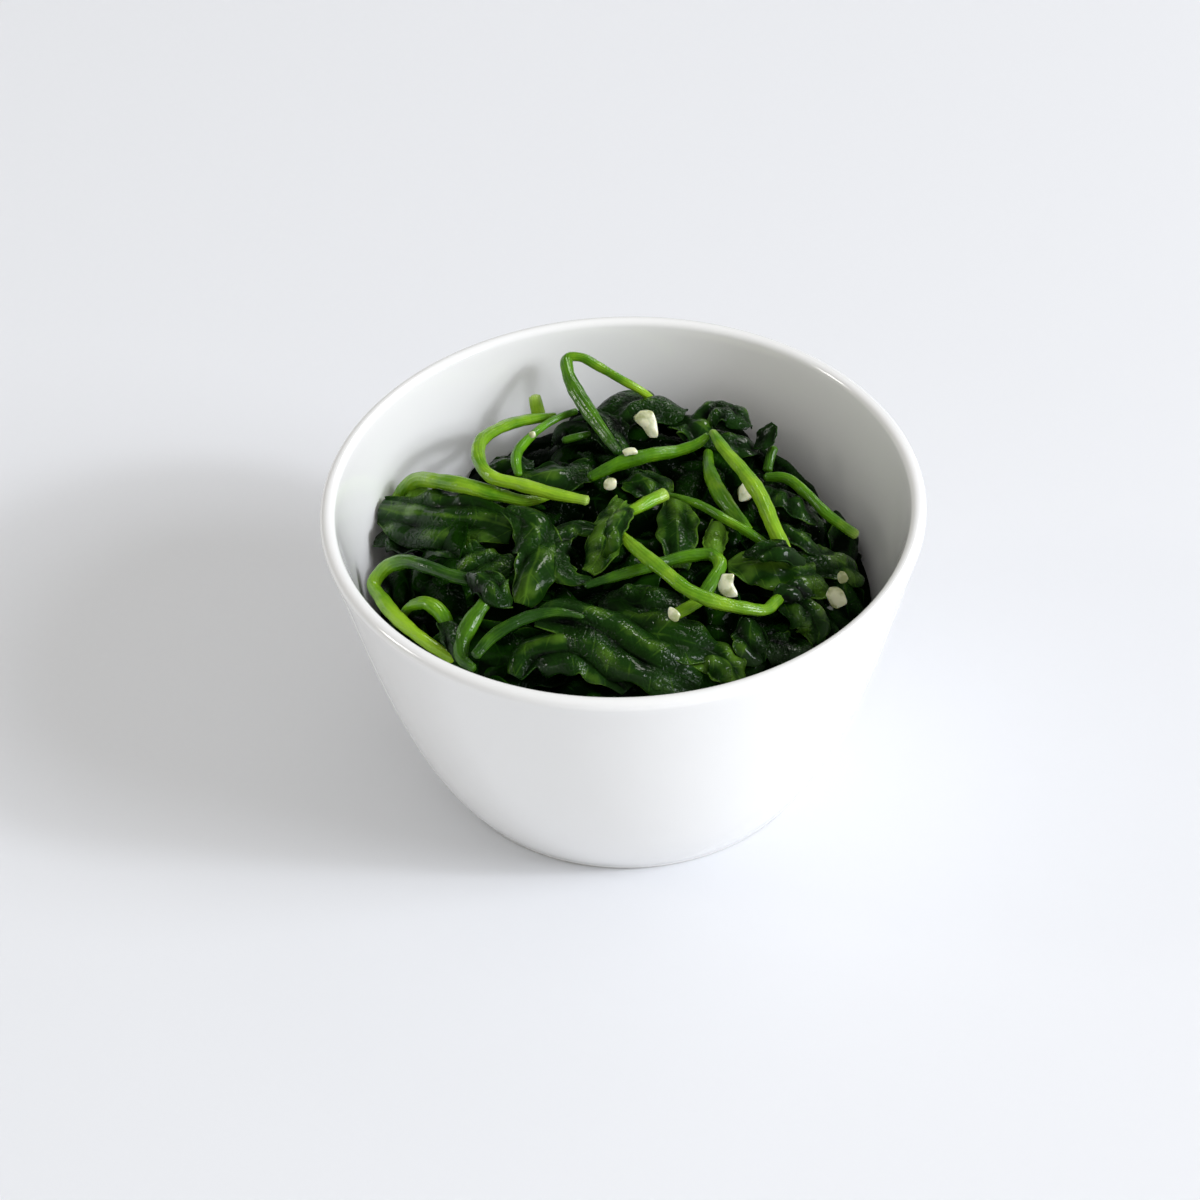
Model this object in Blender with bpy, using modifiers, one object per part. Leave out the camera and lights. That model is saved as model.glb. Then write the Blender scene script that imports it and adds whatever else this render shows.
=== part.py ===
"""A round white bowl of cooked spinach with chopped garlic.

Units are metres and +Z is up. The origin lies on the table, under the middle of the bowl's foot.
The bowl is one turned solid. The cooked leaves are thin arched blades, the stems are round tubes
that lie on and between them, and under both is the packed mass of the other leaves.
A place on the heap is given as (px, py, height): a pixel of the 1200 x 1200 photograph, and the
height over the table. The sight line through the pixel is followed down to that height.
"""
import math
import random

import bmesh
import bpy
import numpy as np
from mathutils import Matrix

# Bowl: driving sizes
RIM_RADIUS = 0.065
BOWL_HEIGHT = 0.070
WALL_THICKNESS = 0.0034
FLOOR_HEIGHT = 0.0050
FOOT_RADIUS = 0.0420
FOOT_WIDTH = 0.0047
FOOT_RECESS = 0.0015
FOOT_EDGE = 0.0006
WALL_TOP_SLANT = math.radians(14.0)
WALL_BELLY_HIGH = (0.0580, 0.0400)
WALL_BELLY_LOW = (0.0520, 0.0140)
FLOOR_CORNER_HEIGHT = 0.0020
FLOOR_CORNER_WIDTH = 0.0040
BOWL_STEPS = 44
WALL_POINTS = 5
LIP_POINTS = 6

# Heap: the mean surface that the leaves and stems lie on
HEAP_EDGE_HEIGHT = 0.0435
HEAP_RISE = 0.0150
HEAP_RADIUS = 0.0590
HEAP_TILT_X = -0.050
HEAP_TILT_Y = 0.080

# Sight lines of the photograph, from the eye's place and the direction it looks in
PHOTO_MIDDLE = 600.0
PHOTO_FOCAL_PIXELS = 4200.0
EYE = np.array([-0.0056, -0.6886, 0.6484])
EYE_ELEVATION = math.radians(41.4)
EYE_ROLL = math.radians(-2.03)

# Clearances and thin stock
GAP = 0.0003
BLADE_THICKNESS = 0.0008
RING_SPACING = 0.0033
MIN_STEM_RINGS = 4
CORE_DEPTH = 0.0068
FLAT_ANGLE = math.radians(2.0)
CREASE_ANGLE = math.radians(50.0)
WELD_DISTANCE = 0.00001

# Colours: red, green, blue
PORCELAIN_WHITE = (0.86, 0.86, 0.84)
STEM_GREEN = (0.20, 0.36, 0.03)
PALE_STEM_GREEN = (0.36, 0.48, 0.14)
BLADE_GREEN = (0.020, 0.060, 0.012)
YOUNG_BLADE_GREEN = (0.060, 0.140, 0.025)
GARLIC_IVORY = (0.78, 0.74, 0.60)

# Stems: (px, py, height, radius) from one end to the other
STEMS = {
    "stem_back_loop": [
        (645, 393, 0.0620, 0.00080), (622, 380, 0.0655, 0.00105), (598, 366, 0.0670, 0.00110),
        (580, 357, 0.0680, 0.00115), (569, 357, 0.0680, 0.00125), (568, 372, 0.0672, 0.00135),
        (574, 387, 0.0662, 0.00150), (584, 404, 0.0650, 0.00170), (603, 432, 0.0630, 0.00160),
        (619, 454, 0.0615, 0.00090)],
    "stem_back_hook": [
        (556, 416, 0.0590, 0.00100), (530, 419, 0.0610, 0.00130), (502, 427, 0.0635, 0.00145),
        (482, 440, 0.0645, 0.00150), (479, 460, 0.0650, 0.00150), (492, 477, 0.0650, 0.00155),
        (518, 484, 0.0645, 0.00150), (555, 494, 0.0640, 0.00150), (590, 501, 0.0635, 0.00090)],
    "stem_left_arc": [
        (390, 509, 0.0520, 0.00120), (396, 495, 0.0525, 0.00145), (412, 483, 0.0555, 0.00165),
        (436, 481, 0.0600, 0.00180), (466, 486, 0.0620, 0.00185), (500, 495, 0.0612, 0.00160),
        (530, 503, 0.0605, 0.00120)],
    "stem_back_stub": [
        (534, 395, 0.0620, 0.00120), (536, 404, 0.0600, 0.00140), (539, 416, 0.0575, 0.00140)],
    "stem_back_fold": [
        (577, 411, 0.0605, 0.00070), (560, 417, 0.0615, 0.00090), (545, 425, 0.0615, 0.00095),
        (530, 437, 0.0615, 0.00105), (519, 449, 0.0615, 0.00110), (516, 462, 0.0620, 0.00105),
        (519, 476, 0.0610, 0.00085)],
    "stem_left_hook": [
        (484, 583, 0.0610, 0.00130), (456, 577, 0.0610, 0.00145), (430, 568, 0.0610, 0.00155),
        (404, 562, 0.0590, 0.00150), (386, 568, 0.0565, 0.00160), (374, 582, 0.0540, 0.00155),
        (379, 600, 0.0540, 0.00160), (393, 620, 0.0545, 0.00150), (417, 640, 0.0545, 0.00145),
        (452, 661, 0.0525, 0.00115)],
    "stem_left_short": [
        (401, 617, 0.0510, 0.00095), (413, 605, 0.0560, 0.00140), (427, 603, 0.0580, 0.00175),
        (440, 612, 0.0575, 0.00180), (452, 638, 0.0545, 0.00120)],
    "stem_front_left": [
        (499, 583, 0.0620, 0.00100), (486, 601, 0.0615, 0.00140), (470, 624, 0.0595, 0.00180),
        (461, 645, 0.0570, 0.00165), (462, 659, 0.0555, 0.00150), (475, 670, 0.0545, 0.00100)],
    "stem_front_leaf": [
        (474, 657, 0.0580, 0.00100), (492, 637, 0.0600, 0.00135), (512, 624, 0.0615, 0.00150),
        (532, 615, 0.0615, 0.00150)],
    "stem_right_bend": [
        (584, 586, 0.0615, 0.00090), (620, 575, 0.0625, 0.00125), (655, 565, 0.0625, 0.00140),
        (690, 556, 0.0625, 0.00140), (712, 555, 0.0625, 0.00135), (720, 563, 0.0625, 0.00140),
        (712, 581, 0.0620, 0.00145), (699, 600, 0.0605, 0.00140), (673, 616, 0.0590, 0.00115)],
    "stem_long_diagonal": [
        (619, 533, 0.0655, 0.00110), (640, 552, 0.0665, 0.00145), (664, 571, 0.0670, 0.00155),
        (690, 591, 0.0660, 0.00150), (716, 602, 0.0640, 0.00150), (744, 608, 0.0620, 0.00140),
        (765, 610, 0.0600, 0.00130), (775, 602, 0.0585, 0.00125), (784, 594, 0.0565, 0.00120)],
    "stem_pale_stub": [
        (667, 493, 0.0635, 0.00160), (650, 501, 0.0635, 0.00155), (635, 509, 0.0635, 0.00140),
        (620, 515, 0.0625, 0.00110)],
    "stem_peak_left": [
        (588, 478, 0.0610, 0.00120), (620, 463, 0.0630, 0.00160), (650, 455, 0.0635, 0.00165),
        (680, 450, 0.0625, 0.00145), (702, 447, 0.0610, 0.00100)],
    "stem_peak_right": [
        (712, 431, 0.0660, 0.00080), (725, 450, 0.0665, 0.00135), (744, 472, 0.0665, 0.00150),
        (762, 499, 0.0655, 0.00180), (775, 530, 0.0630, 0.00190), (785, 552, 0.0595, 0.00160)],
    "stem_under_peak": [
        (708, 453, 0.0570, 0.00120), (709, 470, 0.0595, 0.00160), (718, 492, 0.0605, 0.00175),
        (733, 513, 0.0598, 0.00170), (748, 533, 0.0575, 0.00140)],
    "stem_thin_crossing": [
        (674, 496, 0.0610, 0.00070), (700, 505, 0.0635, 0.00095), (725, 519, 0.0640, 0.00105),
        (748, 532, 0.0620, 0.00105), (766, 544, 0.0595, 0.00090)],
    "stem_right_free": [
        (764, 477, 0.0585, 0.00090), (785, 478, 0.0590, 0.00120), (806, 493, 0.0590, 0.00130),
        (830, 516, 0.0575, 0.00130), (858, 536, 0.0540, 0.00115)],
    "stem_right_upright": [
        (774, 446, 0.0580, 0.00105), (770, 458, 0.0565, 0.00115), (767, 472, 0.0550, 0.00100)],
    "stem_back_bit": [
        (562, 441, 0.0605, 0.00075), (580, 436, 0.0610, 0.00100), (596, 433, 0.0595, 0.00070)],
}
PALE_STEMS = ("stem_pale_stub", "stem_back_fold", "stem_back_stub")

# Blades: the midrib's places from base to tip, half the width, how far each half bends down
# round the midrib (radians), how far the face leans about the midrib (degrees), and the
# number and height of the waves along the edges
BLADES = {
    "blade_left_large": ([(514, 530, 0.0610), (485, 519, 0.0610), (450, 516, 0.0600),
                          (415, 514, 0.0570), (379, 508, 0.0535)], 0.0080, 0.45, 8, 3, 0.0007),
    "blade_left_edge": ([(445, 541, 0.0555), (412, 535, 0.0540), (388, 532, 0.0520),
                         (372, 541, 0.0495)], 0.0050, 0.60, 0, 2, 0.0005),
    "blade_left_inner": ([(512, 567, 0.0595), (480, 561, 0.0595), (450, 556, 0.0575),
                          (428, 549, 0.0550)], 0.0055, 0.55, 5, 2, 0.0006),
    "blade_centre_drape": ([(507, 506, 0.0650), (531, 521, 0.0650), (540, 548, 0.0635),
                            (530, 578, 0.0625), (522, 604, 0.0595)], 0.0060, 0.90, 0, 2, 0.0007),
    "blade_curl": ([(598, 531, 0.0605), (576, 525, 0.0620), (558, 539, 0.0625),
                    (558, 562, 0.0625), (574, 577, 0.0615), (592, 578, 0.0600)],
                   0.0034, 0.80, 0, 1, 0.0004),
    "blade_centre_ridge": ([(623, 500, 0.0600), (612, 516, 0.0615), (604, 536, 0.0615),
                            (597, 559, 0.0610), (588, 572, 0.0600)], 0.0042, 0.80, 0, 1, 0.0004),
    "blade_back_left": ([(592, 468, 0.0585), (566, 472, 0.0595), (541, 474, 0.0595),
                         (521, 478, 0.0590)], 0.0060, 0.50, -6, 2, 0.0006),
    "blade_back_centre": ([(598, 410, 0.0600), (625, 401, 0.0615), (655, 402, 0.0615),
                           (686, 412, 0.0600)], 0.0072, 0.60, -10, 2, 0.0006),
    "blade_back_right": ([(690, 416, 0.0590), (712, 404, 0.0615), (735, 408, 0.0610),
                          (752, 426, 0.0585)], 0.0068, 1.00, 0, 2, 0.0007),
    "blade_back_right_low": ([(698, 441, 0.0575), (722, 434, 0.0590), (743, 441, 0.0585),
                              (757, 454, 0.0570)], 0.0055, 0.90, 0, 2, 0.0006),
    "blade_back_right_tip": ([(754, 448, 0.0580), (764, 438, 0.0600), (774, 424, 0.0625)],
                             0.0026, 0.50, 0, 1, 0.0003),
    "blade_olive": ([(673, 499, 0.0585), (673, 515, 0.0590), (671, 535, 0.0595),
                     (669, 553, 0.0585)], 0.0042, 0.40, 0, 1, 0.0003),
    "blade_small_bright": ([(718, 522, 0.0580), (716, 534, 0.0585), (715, 546, 0.0585),
                            (716, 556, 0.0575)], 0.0030, 0.60, 0, 1, 0.0003),
    "blade_front_long": ([(534, 617, 0.0595), (562, 613, 0.0605), (592, 622, 0.0605),
                          (622, 638, 0.0590), (652, 656, 0.0575), (680, 673, 0.0545),
                          (702, 683, 0.0520)], 0.0080, 0.75, 0, 3, 0.0007),
    "blade_front_low": ([(514, 676, 0.0525), (527, 654, 0.0555), (555, 646, 0.0575),
                         (588, 650, 0.0570), (612, 668, 0.0550), (630, 688, 0.0525)],
                        0.0062, 0.85, 0, 2, 0.0006),
    "blade_front_right": ([(596, 622, 0.0565), (626, 626, 0.0575), (660, 632, 0.0575),
                           (694, 641, 0.0565), (722, 650, 0.0540)], 0.0070, 0.60, 0, 3, 0.0006),
    "blade_front_crumple": ([(690, 660, 0.0535), (712, 655, 0.0545), (730, 666, 0.0530),
                             (744, 681, 0.0495)], 0.0050, 0.80, 0, 3, 0.0008),
    "blade_right_hanging": ([(750, 619, 0.0560), (751, 634, 0.0550), (755, 650, 0.0535),
                             (761, 664, 0.0510)], 0.0045, 0.70, 0, 2, 0.0005),
    "blade_right_bulge": ([(780, 602, 0.0555), (798, 603, 0.0560), (813, 612, 0.0540),
                           (820, 628, 0.0510), (818, 644, 0.0475)], 0.0056, 0.90, 0, 2, 0.0006),
    "blade_right_upper": ([(728, 564, 0.0575), (758, 562, 0.0580), (788, 567, 0.0570),
                           (813, 578, 0.0550), (830, 590, 0.0515)], 0.0064, 0.75, 0, 3, 0.0006),
    "blade_far_right": ([(793, 553, 0.0545), (820, 557, 0.0540), (846, 563, 0.0510),
                         (864, 580, 0.0465)], 0.0052, 0.80, 0, 2, 0.0005),
    "blade_right_back": ([(776, 494, 0.0545), (793, 507, 0.0550), (812, 517, 0.0535),
                          (827, 532, 0.0505)], 0.0052, 0.70, 0, 2, 0.0005),
    "blade_centre_glossy": ([(622, 484, 0.0590), (640, 480, 0.0600), (656, 482, 0.0595),
                             (668, 494, 0.0580)], 0.0050, 0.80, 0, 1, 0.0005),
    "blade_centre_dark": ([(598, 603, 0.0570), (630, 600, 0.0580), (660, 599, 0.0575),
                           (690, 605, 0.0560)], 0.0060, 0.65, 0, 2, 0.0006),
    "blade_back_middle": ([(668, 424, 0.0590), (690, 419, 0.0602), (705, 429, 0.0600),
                           (716, 444, 0.0580)], 0.0060, 0.80, 0, 2, 0.0006),
    "blade_loop_leaf": ([(594, 408, 0.0620), (606, 422, 0.0622), (617, 438, 0.0612),
                         (626, 453, 0.0595)], 0.0046, 0.70, 0, 1, 0.0005),
    "blade_right_low": ([(762, 640, 0.0525), (786, 648, 0.0510), (808, 653, 0.0480),
                         (822, 655, 0.0450)], 0.0052, 0.70, 0, 2, 0.0006),
}
YOUNG_BLADES = ("blade_olive", "blade_small_bright", "blade_front_crumple")
BLADE_ROWS = 7
BLADE_COLUMNS = 4
WIDE_BLADE = 0.0060
WIDE_BLADE_COLUMNS = 6
BLADE_BASE = 0.10
BLADE_SPAN = 0.82
BLADE_FULLNESS = 0.6
EDGE_WAVE_RISE = 1.5
PLEAT_HEIGHT = 0.10
PLEATS = 1.5
PLEAT_DRIFT = 2.0

# Garlic: height over the table, thickness, and the outline in pixels, seen from the eye
GARLIC = {
    "garlic_back_wedge": (0.0635, 0.0026, [
        (635, 419), (641, 410), (651, 409), (655, 417), (658, 434), (655, 440), (649, 437),
        (643, 428)]),
    "garlic_under_peak": (0.0595, 0.0022, [
        (743, 483), (750, 484), (753, 492), (749, 500), (739, 501), (738, 494)]),
    "garlic_right_block": (0.0615, 0.0022, [
        (723, 573), (733, 572), (734, 584), (737, 597), (728, 598), (719, 591), (718, 587)]),
    "garlic_right_slice": (0.0530, 0.0030, [
        (829, 588), (836, 587), (843, 593), (847, 602), (842, 609), (835, 608), (828, 600),
        (826, 593)]),
    "garlic_far_right_bit": (0.0545, 0.0018, [
        (841, 570), (846, 574), (848, 580), (842, 584), (838, 580), (838, 573)]),
    "garlic_front_bit": (0.0620, 0.0018, [
        (670, 607), (675, 609), (681, 618), (677, 621), (669, 617)]),
    "garlic_back_bit": (0.0655, 0.0012, [
        (530, 431), (535, 432), (536, 436), (532, 438), (529, 435)]),
    "garlic_back_sliver": (0.0660, 0.0014, [
        (622, 452), (629, 448), (637, 449), (638, 453), (630, 455), (624, 456)]),
    "garlic_deep_bit": (0.0615, 0.0018, [
        (604, 483), (609, 478), (616, 480), (616, 487), (609, 490), (604, 488)]),
}
GARLIC_BEVEL = 0.00025

# Packed mass: how many blades stand out of the core, their sizes and the draw's seed
MASS_BLADES = 14
MASS_EDGE_BLADES = 11
MASS_BLADE_LENGTH = (0.022, 0.034)
MASS_BLADE_HALF_WIDTH = (0.0060, 0.0090)
MASS_SPREAD = 0.040
MASS_EDGE_RADIUS = 0.0475
MASS_CROWN = (-0.0034, -0.0014)
MASS_EDGE_CROWN = (-0.0010, 0.0020)
MASS_SINK = 0.0090
MASS_BEND = (0.5, 1.0)
MASS_LEAN = 25.0
MASS_RUFFLE = 0.0007
MASS_ROWS = 4
MASS_COLUMNS = 3
MASS_SEED = 11

# Core of the packed mass: a ball of so many segments and rings, widest at its equator, with
# creases across its top that drift round it with the radius
CORE_EQUATOR = 0.0400
CORE_SEGMENTS = 20
CORE_RINGS = 11
CORE_TOP_STEEPNESS = 2.2
CORE_FLOOR_SPREAD = 1.5
CREASE_HEIGHT = 0.0012
CREASES = 9
CREASE_DRIFT = 120.0


def clear_scene():
    """Remove every object, so that the script starts from an empty scene."""
    for thing in list(bpy.data.objects):
        bpy.data.objects.remove(thing, do_unlink=True)


def new_collection(name):
    """A collection of this name, linked to the scene."""
    group = bpy.data.collections.new(name)
    bpy.context.scene.collection.children.link(group)
    return group


def new_material(name, colour, roughness):
    """A plain Principled material."""
    material = bpy.data.materials.new(name)
    material.use_nodes = True
    shader = material.node_tree.nodes["Principled BSDF"]
    shader.inputs["Base Color"].default_value = (*colour, 1.0)
    shader.inputs["Roughness"].default_value = roughness
    shader.inputs["Metallic"].default_value = 0.0
    material.diffuse_color = (*colour, 1.0)
    return material


def new_object(name, mesh, group):
    """An object of this mesh, linked to the group."""
    thing = bpy.data.objects.new(name, mesh)
    group.objects.link(thing)
    return thing


def lip_centre():
    """Centre of the rounded lip's section, as (radius, height)."""
    half = WALL_THICKNESS / 2
    return np.array([RIM_RADIUS - half, BOWL_HEIGHT - half])


def outer_wall(count):
    """Outer wall from the lip to the foot: a cubic curve over two belly points."""
    half = WALL_THICKNESS / 2
    top = lip_centre() + half * np.array([math.cos(WALL_TOP_SLANT), -math.sin(WALL_TOP_SLANT)])
    poles = np.array([top, WALL_BELLY_HIGH, WALL_BELLY_LOW, (FOOT_RADIUS, FOOT_EDGE)])
    t = np.linspace(0.0, 1.0, count)[:, None]
    weights = np.hstack([(1 - t) ** 3, 3 * (1 - t) ** 2 * t, 3 * (1 - t) * t ** 2, t ** 3])
    return weights @ poles


def inner_wall(count):
    """Inner wall from the lip to the floor: the outer wall moved in by its thickness."""
    wall = outer_wall(count)
    along = np.gradient(wall, axis=0)
    inward = np.column_stack([along[:, 1], -along[:, 0]])
    inward /= np.linalg.norm(inward, axis=1)[:, None]
    return wall + inward * WALL_THICKNESS


INNER_PROFILE = inner_wall(60)[::-1]


def inner_radius(height):
    """Radius of the bowl's inside at this height."""
    return np.interp(height, INNER_PROFILE[:, 1], INNER_PROFILE[:, 0])


def bowl_profile():
    """Half section: floor centre, up the inside, over the lip, down the outside, foot, axis."""
    inside = inner_wall(WALL_POINTS + 1)[::-1]
    corner_height = FLOOR_HEIGHT + FLOOR_CORNER_HEIGHT
    inside = inside[inside[:, 1] > corner_height]
    floor_radius = inner_radius(corner_height) - FLOOR_CORNER_WIDTH
    floor = [(0.0, FLOOR_HEIGHT), (floor_radius, FLOOR_HEIGHT)]
    half = WALL_THICKNESS / 2
    turn = np.linspace(math.pi - WALL_TOP_SLANT, -WALL_TOP_SLANT, LIP_POINTS)[1:-1]
    lip = lip_centre() + half * np.column_stack([np.cos(turn), np.sin(turn)])
    foot_inner = FOOT_RADIUS - FOOT_WIDTH
    foot = [(FOOT_RADIUS - FOOT_EDGE, 0.0), (foot_inner + FOOT_EDGE, 0.0),
            (foot_inner, FOOT_EDGE), (foot_inner - FOOT_EDGE, FOOT_RECESS), (0.0, FOOT_RECESS)]
    return np.vstack([floor, inside, lip, outer_wall(WALL_POINTS + 1), foot])


def make_bowl(group, material):
    """The bowl: its half section turned about the upright axis."""
    profile = bowl_profile()
    mesh = bpy.data.meshes.new("bowl")
    points = [(radius, 0.0, height) for radius, height in profile]
    edges = [(index, index + 1) for index in range(len(points) - 1)]
    mesh.from_pydata(points, edges, [])
    bowl = new_object("bowl", mesh, group)
    screw = bowl.modifiers.new("turn", "SCREW")
    screw.steps = BOWL_STEPS
    screw.render_steps = BOWL_STEPS
    screw.use_merge_vertices = True
    screw.merge_threshold = WELD_DISTANCE
    screw.use_smooth_shade = True
    mesh.materials.append(material)
    return bowl


def heap_height(x, y):
    """Mean height of the heap: a flat dome that falls off at the wall, and leans a little."""
    reach = (x ** 2 + y ** 2) / HEAP_RADIUS ** 2
    return (HEAP_EDGE_HEIGHT + HEAP_RISE * (1.0 - reach ** 2)
            + HEAP_TILT_X * x + HEAP_TILT_Y * y)


def sight_axes():
    """The eye's forward, right and up directions."""
    forward = np.array([0.0, math.cos(EYE_ELEVATION), -math.sin(EYE_ELEVATION)])
    level = np.array([1.0, 0.0, 0.0])
    above = np.cross(level, forward)
    right = level * math.cos(EYE_ROLL) + above * math.sin(EYE_ROLL)
    up = above * math.cos(EYE_ROLL) - level * math.sin(EYE_ROLL)
    return forward, right, up


def seen_at(place):
    """The point at the given height on a pixel's sight line."""
    px, py, height = place[:3]
    forward, right, up = sight_axes()
    across = (px - PHOTO_MIDDLE) / PHOTO_FOCAL_PIXELS
    down = (py - PHOTO_MIDDLE) / PHOTO_FOCAL_PIXELS
    line = forward + right * across - up * down
    return EYE + line * (height - EYE[2]) / line[2]


def keep_inside(points, margin):
    """Press points that would pass the bowl's wall back to this margin from it."""
    points = np.array(points)
    reach = np.hypot(points[..., 0], points[..., 1])
    most = inner_radius(points[..., 2]) - margin
    factor = np.where(reach > most, most / np.maximum(reach, 1e-9), 1.0)
    points[..., 0] *= factor
    points[..., 1] *= factor
    return points


def smooth_route(points, count):
    """Evenly spaced points on a smooth curve through the given ones (cubic between each two)."""
    points = np.asarray(points, float)
    steps = np.linalg.norm(np.diff(points, axis=0), axis=1)
    chord = np.concatenate([[0.0], np.cumsum(steps)])
    slope = np.gradient(points, chord, axis=0)
    fine = np.linspace(0.0, chord[-1], 200)
    span = np.clip(np.searchsorted(chord, fine, side="right") - 1, 0, len(steps) - 1)
    s = ((fine - chord[span]) / steps[span])[:, None]
    h = steps[span][:, None]
    curve = ((2 * s ** 3 - 3 * s ** 2 + 1) * points[span]
             + (s ** 3 - 2 * s ** 2 + s) * h * slope[span]
             + (3 * s ** 2 - 2 * s ** 3) * points[span + 1]
             + (s ** 3 - s ** 2) * h * slope[span + 1])
    walked = np.concatenate([[0.0], np.cumsum(np.linalg.norm(np.diff(curve, axis=0), axis=1))])
    even = np.linspace(0.0, walked[-1], count)
    return np.column_stack([np.interp(even, walked, curve[:, axis]) for axis in range(3)])


def stem_line(name):
    """Centre points of a stem, and its radius at each of them."""
    radii = [place[3] for place in STEMS[name]]
    places = keep_inside([seen_at(place) for place in STEMS[name]], max(radii) + 2 * GAP)
    steps = np.linalg.norm(np.diff(places, axis=0), axis=1)
    marks = np.concatenate([[0.0], np.cumsum(steps)])
    count = max(MIN_STEM_RINGS, math.ceil(marks[-1] / RING_SPACING) + 1)
    return smooth_route(places, count), np.interp(np.linspace(0.0, marks[-1], count), marks, radii)


def make_stem(name, group, grow=0.0):
    """A stem: a six-sided tube along its line, with the line's radii."""
    line, radii = stem_line(name)
    curve = bpy.data.curves.new(name, "CURVE")
    curve.dimensions = "3D"
    curve.bevel_depth = 1.0
    curve.bevel_resolution = 1
    curve.use_fill_caps = True
    spline = curve.splines.new("POLY")
    spline.points.add(len(line) - 1)
    for point, place, radius in zip(spline.points, line, radii):
        point.co = (*place, 1.0)
        point.radius = radius + grow
    return mesh_of_curve(name, curve, Matrix.Identity(4), group)


def mesh_of_curve(name, curve, matrix, group):
    """A closed mesh object made from a curve that stands at this matrix."""
    guide = new_object(name + "_line", curve, group)
    bpy.context.view_layer.update()
    shape = guide.evaluated_get(bpy.context.evaluated_depsgraph_get())
    mesh = bpy.data.meshes.new_from_object(shape)
    bpy.data.objects.remove(guide, do_unlink=True)
    bpy.data.curves.remove(curve)
    mesh.transform(matrix)
    weld(mesh)
    return new_object(name, mesh, group)


def weld(mesh):
    """Join the caps to the tube and split every face into triangles."""
    shape = bmesh.new()
    shape.from_mesh(mesh)
    bmesh.ops.remove_doubles(shape, verts=shape.verts, dist=WELD_DISTANCE)
    bmesh.ops.triangulate(shape, faces=shape.faces)
    bmesh.ops.recalc_face_normals(shape, faces=shape.faces)
    shape.to_mesh(mesh)
    shape.free()


def outward(points):
    """Unit normals of the heap under the points."""
    x, y = points[:, 0], points[:, 1]
    fall = -4.0 * HEAP_RISE * (x ** 2 + y ** 2) / HEAP_RADIUS ** 4
    slope_x = fall * x + HEAP_TILT_X
    slope_y = fall * y + HEAP_TILT_Y
    normal = np.column_stack([-slope_x, -slope_y, np.ones(len(points))])
    return normal / np.linalg.norm(normal, axis=1)[:, None]


def blade_surface(midrib, half_width, bend, lean, waves, ruffle, rows, columns, grow):
    """Grid of a blade's points. Each cross-section is an arc that bends down on both
    sides of the midrib, wide in the middle of the leaf and narrow at both ends, with
    lengthwise pleats, and waves that grow towards the edges."""
    line = smooth_route(midrib, rows + 1)
    along = np.gradient(line, axis=0)
    along /= np.linalg.norm(along, axis=1)[:, None]
    line[0] -= along[0] * grow
    line[-1] += along[-1] * grow
    face = outward(line)
    face -= along * np.sum(face * along, axis=1)[:, None]
    face /= np.linalg.norm(face, axis=1)[:, None]
    side = np.cross(along, face)
    tilt = math.radians(lean)
    side, face = (side * math.cos(tilt) + face * math.sin(tilt),
                  face * math.cos(tilt) - side * math.sin(tilt))
    u = np.linspace(0.0, 1.0, rows + 1)[:, None]
    v = np.linspace(-1.0, 1.0, columns + 1)[None, :]
    width = half_width * np.sin(math.pi * (BLADE_BASE + BLADE_SPAN * u)) ** BLADE_FULLNESS + grow
    across = width / bend * np.sin(v * bend)
    drop = width / bend * (1.0 - np.cos(v * bend))
    ripple = ruffle * np.sin(2 * math.pi * waves * u + np.sign(v)) * np.abs(v) ** EDGE_WAVE_RISE
    pleat = PLEAT_HEIGHT * width * (np.cos(2 * math.pi * PLEATS * v + PLEAT_DRIFT * u) - 1.0)
    return (line[:, None, :] + side[:, None, :] * across[..., None]
            + face[:, None, :] * (ripple + pleat - drop)[..., None])


def make_sheet(name, points, thickness, group):
    """A closed thin body on a grid of points: an open grid given its thickness both ways."""
    rows, columns = points.shape[0] - 1, points.shape[1] - 1
    shape = bmesh.new()
    bmesh.ops.create_grid(shape, x_segments=columns, y_segments=rows, size=1.0)
    shape.verts.ensure_lookup_table()
    flat = points.reshape(-1, 3)
    for vertex in shape.verts:
        vertex.co = flat[vertex.index]
    bmesh.ops.triangulate(shape, faces=shape.faces)
    mesh = bpy.data.meshes.new(name)
    shape.to_mesh(mesh)
    shape.free()
    sheet = new_object(name, mesh, group)
    solidify = sheet.modifiers.new("thickness", "SOLIDIFY")
    solidify.thickness = thickness
    solidify.offset = 0.0
    return apply_modifiers(sheet, group)


def apply_modifiers(thing, group):
    """Replace an object by its evaluated mesh, with every modifier applied."""
    bpy.context.view_layer.update()
    shape = thing.evaluated_get(bpy.context.evaluated_depsgraph_get())
    mesh = bpy.data.meshes.new_from_object(shape)
    name = thing.name
    bpy.data.objects.remove(thing, do_unlink=True)
    mesh.name = name
    return new_object(name, mesh, group)


def make_blade(name, group, grow=0.0):
    """One of the leaves that show, or the same leaf grown by a clearance."""
    midrib, half_width, bend, lean, waves, ruffle = BLADES[name]
    route = [seen_at(place) for place in midrib]
    columns = WIDE_BLADE_COLUMNS if half_width >= WIDE_BLADE else BLADE_COLUMNS
    points = blade_surface(route, half_width, bend, lean, waves, ruffle,
                           BLADE_ROWS, columns, grow)
    thickness = BLADE_THICKNESS + 2 * grow
    points = keep_inside(points, thickness / 2 + 2 * GAP)
    return make_sheet(name, points, thickness, group)


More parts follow.
